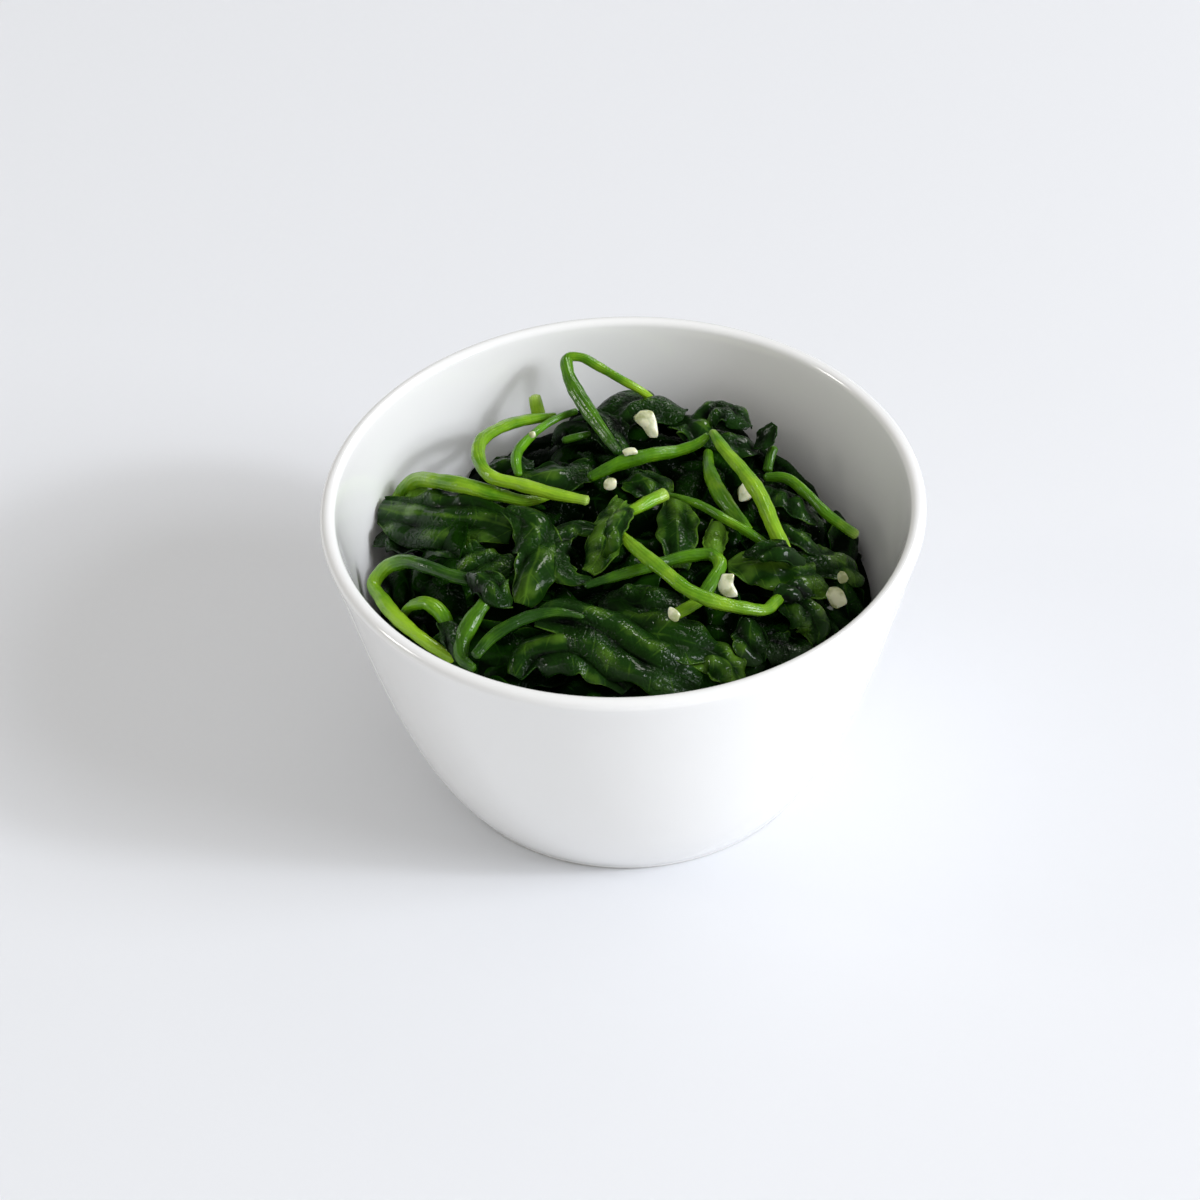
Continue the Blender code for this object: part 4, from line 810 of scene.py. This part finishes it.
def heap_height(x, y):
    """Mean height of the heap: a flat dome that falls off at the wall, and leans a little."""
    reach = (x ** 2 + y ** 2) / HEAP_RADIUS ** 2
    return HEAP_EDGE_HEIGHT + HEAP_RISE * (1 - reach ** 2) + HEAP_TILT_X * x + HEAP_TILT_Y * y


def outward(points):
    """Unit normals of the heap under the points."""
    x, y = points[..., 0], points[..., 1]
    fall = -4.0 * HEAP_RISE * (x ** 2 + y ** 2) / HEAP_RADIUS ** 4
    return direction(np.stack([-fall * x - HEAP_TILT_X, -fall * y - HEAP_TILT_Y,
                               np.ones_like(x)], axis=-1))


def wrinkled(along, v, width, draw):
    """Fine relief of a wilted leaf, in metres. Long pleats with round crests and sharp valleys
    wander down it and fade in and out. It is pillowed between its side veins, and finely
    wrinkled in patches."""
    across = v * width
    height = np.zeros(across.shape)
    gaps = [draw.uniform(least, most) for least, most, _ in PLEATS]
    for gap, (_, _, tall) in zip(gaps, PLEATS):
        wander = 1.1 * np.sin(along * draw.uniform(180, 320) + draw.uniform(0, FULL_TURN))
        wander = wander + 1.4 * height
        pleat = np.abs(np.sin(across * math.pi / gap + wander + draw.uniform(0, HALF_TURN)))
        fade = np.sin(along * draw.uniform(200, 380) + 2.5 * v + draw.uniform(0, FULL_TURN))
        height += tall * (0.5 + 0.5 * fade) * (pleat - RIPPLE_MEAN)
    pillow = np.abs(np.sin(math.pi * (along - VEIN_SLANT * np.abs(v)) / VEIN_SPACING))
    height += PILLOW_HEIGHT * (pillow - RIPPLE_MEAN)
    spots = np.sin(along * 520 + draw.uniform(0, FULL_TURN)) * np.sin(across * 610 + 2 * height)
    patch = np.clip(1.4 * spots - 0.1, 0.0, 1.0)
    for _ in range(3):
        slant = draw.normal(0.3, 0.9)
        count = math.pi / WRINKLE_GAP * draw.uniform(0.8, 1.3)
        phase = (across * math.cos(slant) + along * math.sin(slant)) * count + 1.5 * height
        ripple = np.abs(np.sin(phase + draw.uniform(0, HALF_TURN)))
        height = height + WRINKLE_HEIGHT * patch * (ripple - RIPPLE_MEAN)
    return height / 1000.0


def creased(phase):
    """A wave with straight flanks and slightly rounded crests and valleys, from -1 to 1."""
    return np.arcsin(CREASE_SHARPNESS * np.cos(phase)) / math.asin(CREASE_SHARPNESS)


def blade_grid(route, half_width, bend, lean, waves, ruffle, spacing, folds, draw):
    """A draped leaf, as its points, its UV places and its crests. Each cross-section is an arc
    that bends down on both sides of the midrib, wide in the middle of the leaf and narrow at
    its ends. It is creased as wet cloth is: folds run down it, two more trains of creases
    cross them at a slant, and the faces between are nearly flat. A sideways shift by the sine
    swells the crests of the folds. The edges are waved and curl up in places. folds holds the
    folds' width as a share of the half width, their depth, and for a leaf whose folds run
    straight, the phase at the midrib."""
    length = np.linalg.norm(np.diff(route, axis=0), axis=1).sum()
    rows = max(10, int(length / spacing))
    columns = max(8, int(2.2 * half_width / spacing))
    line = smooth_route(route, rows)
    along = direction(np.gradient(line, axis=0))
    face = outward(line)
    face = direction(face - along * np.sum(face * along, axis=1)[:, None])
    side = np.cross(along, face)
    tilt = math.radians(lean)
    side, face = (side * math.cos(tilt) + face * math.sin(tilt),
                  face * math.cos(tilt) - side * math.sin(tilt))
    u = np.linspace(0.0, 1.0, rows)[:, None]
    v = np.linspace(-1.0, 1.0, columns)[None, :]
    width = half_width * np.sin(math.pi * (0.06 + 0.88 * u)) ** 0.6
    width = width * (1.0 + 0.06 * np.sin(draw.uniform(20, 30) * u + np.sign(v)))
    fold = max(FOLD_LEAST, folds[0] * half_width * draw.uniform(0.85, 1.15))
    straight = len(folds) > 2
    slant = draw.normal(0.0, 0.35) * (not straight)
    phase = 2 * math.pi / fold * (v * width * math.cos(slant) + u * length * math.sin(slant))
    bowed = np.sin(draw.uniform(250, 350) * u * length + draw.uniform(0, FULL_TURN))
    phase = phase + (0.4 if straight else 1.2) * bowed
    phase = phase + (-folds[2] if straight else draw.uniform(0, FULL_TURN))
    depth = folds[1] * np.sin(math.pi * (0.05 + 0.9 * u)) ** 0.5
    depth = depth * (0.72 + 0.28 * np.sin(draw.uniform(200, 330) * u * length + 2.0 * v))
    relief = creased(phase) - 0.4
    share = CREASE_SHARE * (0.5 if straight else 1.0)
    for turned in (draw.uniform(0.6, 1.0), -draw.uniform(0.7, 1.2)):
        count = 2 * math.pi / (fold * draw.uniform(0.8, 1.25))
        train = count * (v * width * math.cos(turned) + u * length * math.sin(turned))
        relief = relief + share * creased(train + 0.8 * relief + draw.uniform(0, FULL_TURN))
    across = width / bend * np.sin(v * bend)
    across = across + FOLD_PINCH * fold / (2 * math.pi) * depth * np.sin(phase)
    drop = width / bend * (1.0 - np.cos(v * bend)) - FOLD_HEIGHT * fold * depth * relief
    ripple = ruffle * np.sin(2 * math.pi * waves * u + np.sign(v)) * np.abs(v) ** 1.5
    curl = (EDGE_CURL * np.clip((np.abs(v) - EDGE_CURL_FROM) / (1 - EDGE_CURL_FROM), 0.0, 1.0) ** 2
            * (0.6 + np.sin(draw.uniform(7, 13) * u + 2.0 * np.sign(v))))
    height = wrinkled(u * length, v, width, draw)
    # How high each point sits on its folds. The finish paints high points lighter as painted light and
    # low ones darker as painted shade.
    crest = np.clip(0.45 + 0.32 * depth * relief + 600.0 * height, 0.0, 1.0)
    points = (line[:, None, :] + side[:, None, :] * across[..., None]
              + face[:, None, :] * (ripple + curl + height - drop)[..., None])
    spread = np.stack(np.broadcast_arrays(u * length, v), axis=-1)
    return points, spread, crest


def leaf_finish(name, wet, shine):
    """Wet cooked leaf: near black in the folds as painted shade, green on the crests as painted
    light, green along the veins, and lighter at the edge as painted light. It is smooth in places
    and finely pebbled in others. Water stands on the crests, and the valleys are almost dry. The
    veins follow the UV map: a midrib, and side veins that leave it at a slant."""
    material, tree, shader = finish_of(name, Roughness=0.50, Specular_IOR_Level=shine,
                                       Coat_Roughness=0.05, Coat_IOR=1.45)
    uv = node(tree, "TexCoord").outputs["UV"]
    place = node(tree, "TexCoord").outputs["Object"]
    run = node(tree, "SeparateXYZ", [(0, uv)])
    from_rib = worked_out(tree, "ABSOLUTE", run.outputs["Y"])
    slanted = worked_out(tree, "MULTIPLY_ADD", from_rib, -VEIN_SLANT, run.outputs["X"])
    vein_phase = worked_out(tree, "MULTIPLY", slanted, 2 * math.pi / VEIN_SPACING)
    vein_wave = worked_out(tree, "COSINE", vein_phase)
    side_vein = between(tree, vein_wave, 0.94, 1.0, 0.0, 0.12)
    midrib = between(tree, from_rib, 0.07, 0.02, 0.0, 0.14)
    # Painted light: a thin lighter line along each edge, as if the thin rim were lit through from
    # behind. The veins beside it are the leaf's own paler colour.
    edge = between(tree, from_rib, 0.955, 0.99, 0.0, 0.20)
    veins = worked_out(tree, "MAXIMUM", side_vein, midrib)
    veins_and_lit_edge = worked_out(tree, "MAXIMUM", veins, edge)
    crest = node(tree, "Attribute", attribute_name="crest").outputs["Fac"]
    tone = node(tree, "Attribute", attribute_name="tone").outputs["Fac"]
    # Painted light and shade: crests are made lighter and fold valleys darker.
    crest_shaded_tone = worked_out(tree, "ADD", between(tree, crest, 0.0, 1.0, -0.12, 0.56), tone)
    blotch = between(tree, cloud(tree, place, 120.0, 4.0), 0.3, 0.7, -0.26, 0.20)
    clouded = worked_out(tree, "ADD", crest_shaded_tone, blotch)
    whole = worked_out(tree, "ADD", clouded, veins_and_lit_edge, use_clamp=True)
    colour = three_tones(tree, whole, LEAF_SHADE_BLACK, LEAF_DEEP, LEAF_LIGHT, 0.5)
    cell = node(tree, "TexVoronoi", [("Vector", place), ("Scale", 760.0)],
                feature="DISTANCE_TO_EDGE")
    pebble = between(tree, cell.outputs["Distance"], 0.0, 0.28, interpolation_type="SMOOTHSTEP")
    blister = cloud(tree, place, 900.0, 3.0)
    grainy = worked_out(tree, "MULTIPLY_ADD", pebble, 0.55, blister)
    relief = worked_out(tree, "MULTIPLY_ADD", veins, -1.5, grainy)
    strength = between(tree, cloud(tree, place, 110.0, 1.0), 0.42, 0.62, 0.12, 0.90)
    bump = node(tree, "Bump", [("Height", relief), ("Strength", strength), ("Distance", 0.00026)])
    wetness = between(tree, crest, 0.28, 0.80, 0.12 * wet, wet)
    tree.links.new(wetness, shader.inputs["Coat Weight"])
    tree.links.new(colour, shader.inputs["Base Color"])
    tree.links.new(bump.outputs[0], shader.inputs["Normal"])
    tree.links.new(bump.outputs[0], shader.inputs["Coat Normal"])
    return material


def put_leaf(name, grid, tone, material):
    """A leaf's surface with its crests and tone, given its thickness."""
    points, spread, crest = grid
    mesh = grid_mesh(name, points, spread=spread)
    sunk = heap_height(points[..., 0], points[..., 1]) - points[..., 2]
    # Painted shade: the tone falls where the leaf lies sunk below the heap's mean surface.
    add_values(mesh, crest=crest, tone=tone - SUNK_PAINTED_SHADE * np.clip(sunk, 0.0, 0.006))
    leaf = put(name, mesh, material)
    solidify = leaf.modifiers.new("thickness", "SOLIDIFY")
    solidify.thickness = BLADE_SKIN
    solidify.offset = 0.0
    return leaf


leaf_skin = leaf_finish("wilted_leaf", 1.00, 0.06)
young_skin = leaf_finish("young_leaf", 1.00, 0.06)
for index, (name, (midrib, half_width, bend, lean, waves, ruffle)) in enumerate(BLADES.items()):
    route = np.array([seen_at(place) for place in midrib])
    points, spread, crest = blade_grid(route, half_width, bend, lean, waves, ruffle,
                                       BLADE_SPACING, BLADE_FOLDS.get(name, USUAL_FOLDS),
                                       np.random.default_rng(BLADE_DRAW + index))
    young = name in YOUNG_BLADES
    piece = put_leaf(name + "_leaf", (keep_inside(points, BLADE_WALL_GAP), spread, crest),
                     BLADE_TONES.get(name, USUAL_TONE), young_skin if young else leaf_skin)
    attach(piece, "root")
    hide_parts(name)

# The tucked leaves: small wilted blades that fill the gaps between the stems, the large leaves
# and the wall. They are cut, bent and creased as the large ones are. Each has its midrib, its
# half width and how far its sides bend down.
TUCKED_LEAVES = {
    "tucked_leaf_left": ([(470, 572, 0.0625), (484, 579, 0.0645), (499, 590, 0.0645),
                          (513, 603, 0.0610)], 0.0042, 0.9),
    "tucked_leaf_right": ([(745, 552, 0.0605), (765, 546, 0.0632), (786, 549, 0.0632),
                           (805, 560, 0.0590)], 0.0036, 0.9),
    "tucked_leaf_middle": ([(630, 504, 0.0640), (619, 520, 0.0678), (611, 537, 0.0678),
                            (602, 556, 0.0630)], 0.0028, 0.9),
    "tucked_leaf_arc": ([(393, 506, 0.0520), (412, 496, 0.0550), (438, 493, 0.0575),
                         (468, 499, 0.0580)], 0.0034, 0.7),
    "tucked_leaf_corner": ([(775, 600, 0.0580), (785, 592, 0.0590), (798, 588, 0.0585),
                            (812, 592, 0.0560)], 0.0030, 0.9),
    "tucked_leaf_front": ([(441, 622, 0.0570), (449, 634, 0.0585), (455, 648, 0.0570),
                           (458, 662, 0.0545)], 0.0026, 0.9),
    "tucked_leaf_hook": ([(484, 468, 0.0585), (499, 461, 0.0603), (516, 459, 0.0603),
                          (534, 464, 0.0585)], 0.0030, 0.8),
    "tucked_leaf_wall": ([(768, 486, 0.0565), (784, 494, 0.0585), (802, 506, 0.0583),
                          (818, 522, 0.0550)], 0.0042, 0.8),
    "tucked_leaf_behind": ([(778, 522, 0.0555), (792, 530, 0.0572), (808, 541, 0.0565),
                            (820, 553, 0.0535)], 0.0034, 0.9),
}
TUCKED_DRAW = 1700
TUCKED_TONES = {"tucked_leaf_middle": 0.45, "tucked_leaf_arc": 1.00, "tucked_leaf_wall": 0.22,
                "tucked_leaf_behind": 0.26}
for index, (name, (midrib, half_width, bend)) in enumerate(TUCKED_LEAVES.items()):
    route = np.array([seen_at(place) for place in midrib])
    points, spread, crest = blade_grid(route, half_width, bend, 0, 2, 0.0004, BLADE_SPACING,
                                       USUAL_FOLDS, np.random.default_rng(TUCKED_DRAW + index))
    piece = put_leaf(name, (keep_inside(points, BLADE_WALL_GAP), spread, crest),
                     TUCKED_TONES.get(name, USUAL_TONE), leaf_skin)
    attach(piece, "root")

# The imported leaves: the rest of the helping, pressed into the bowl. A body coloured near
# black as painted shade fills it, and crumpled leaves with low tones, also painted shade, lie
# over one another on top of it, all the way out to the wall.
CORE_DEPTH = 0.0062
HOLLOW_TURN = math.radians(135.0)
HOLLOW_SPREAD = math.radians(28.0)
HOLLOW_DEPTH = 0.0120
HOLLOW_FROM = 0.030
HOLLOW_BLEND = 0.014
FILLER_LEAVES = 84
FILLER_SPACING = 0.00070
FILLER_FOLDS = (1.0, 1.3)
FILLER_REACH = 0.0530
FILLER_MIDRIB_GAP = 0.0025
FILLER_WALL_GAP = 0.0009
FILLER_DRAW = 900
GOLDEN_ANGLE = 2.399963
CORE_WALL_TOP = 0.0400


def hollow(x, y):
    """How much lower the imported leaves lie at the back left, where the wall stays bare."""
    away = np.angle(np.exp(1j * (np.arctan2(y, x) - HOLLOW_TURN))) / HOLLOW_SPREAD
    far_out = np.clip((np.hypot(x, y) - HOLLOW_FROM) / HOLLOW_BLEND, 0.0, 1.0)
    return HOLLOW_DEPTH * np.exp(-away ** 2) * far_out


def core_grid():
    """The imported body: rings from the middle of the floor out, up the wall, and back over the
    heap to its middle, a little below the heap's mean surface."""
    turn = np.linspace(0.0, 2 * math.pi, 120, endpoint=False)
    low = np.linspace(FLOOR_HEIGHT + 0.0008, CORE_WALL_TOP, 14)
    wall = np.stack([inner_radius(low) - 0.0007, low], axis=1)
    floor = np.stack([np.linspace(0.0005, 0.9, 6)[:-1] * wall[0, 0], np.full(5, low[0])], axis=1)
    below = np.vstack([floor, wall])
    lower = np.stack([below[:, :1] * np.cos(turn), below[:, :1] * np.sin(turn),
                      below[:, 1:] * np.ones(len(turn))], axis=-1)
    reach = np.linspace(1.0, 0.01, 60)[1:, None] * wall[-1, 0]
    x, y = reach * np.cos(turn), reach * np.sin(turn)
    top = heap_height(x, y) - CORE_DEPTH - hollow(x, y) + 0.0009 * np.sin(9 * turn + 240 * reach)
    edge = np.clip((wall[-1, 0] - reach) / 0.004, 0.0, 1.0)
    upper = np.stack([x, y, CORE_WALL_TOP + (top - CORE_WALL_TOP) * edge], axis=-1)
    return np.concatenate([lower, upper])[::-1]


def filler_grid(number, draw):
    """A wilted leaf on the heap. The leaves are spread evenly over it along a spiral. Each is
    turned at random, or near the wall runs along it, and is arched up in its middle with both
    ends sunk among the others."""
    share = (number + 0.5) / FILLER_LEAVES
    angle = number * GOLDEN_ANGLE
    spread = FILLER_REACH * math.sqrt(share)
    heading = draw.uniform(0, 2 * math.pi)
    if share > 0.70:
        heading = angle + math.pi / 2 + draw.uniform(-0.6, 0.6)
    length = draw.uniform(0.020, 0.032)
    centre = spread * np.array([math.cos(angle), math.sin(angle)])
    walk = 0.5 * length * np.array([math.cos(heading), math.sin(heading)])
    crown = draw.uniform(-0.0040, -0.0010) + 0.0012 * share
    route = []
    for part, lift in zip((-1.0, -0.4, 0.4, 1.0), (-0.0075, crown - 0.0006, crown, -0.0070)):
        x, y = centre + part * walk
        route.append((x, y, heap_height(x, y) + lift - hollow(x, y)))
    route = keep_inside(route, FILLER_MIDRIB_GAP)
    grid = blade_grid(route, draw.uniform(0.0055, 0.0085), draw.uniform(0.5, 1.1),
                      draw.uniform(-30, 30), 2, 0.0010, FILLER_SPACING, FILLER_FOLDS, draw)
    return (keep_inside(grid[0], FILLER_WALL_GAP), *grid[1:])


packed_skin = leaf_finish("packed_leaf", 0.28, 0.0)
packed_mesh = grid_mesh("packed_leaves", core_grid(), wrap=True, caps=True)
# Painted shade: the body has no crests and the lowest tone, so it is coloured near black.
add_values(packed_mesh, crest=np.zeros(len(packed_mesh.vertices)),
           tone=np.zeros(len(packed_mesh.vertices)))
packed = put("packed_leaves", packed_mesh, packed_skin)
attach(packed, "root")
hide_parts("leaf_mass")
for number in range(FILLER_LEAVES):
    draw = np.random.default_rng(FILLER_DRAW + number)
    # Painted shade: filler leaves get low random tones, below the large leaves', so the gaps between
    # them read dark.
    piece = put_leaf("packed_leaf_%03d" % number, filler_grid(number, draw),
                     draw.uniform(-0.12, 0.10), packed_skin)
    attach(piece, "root")
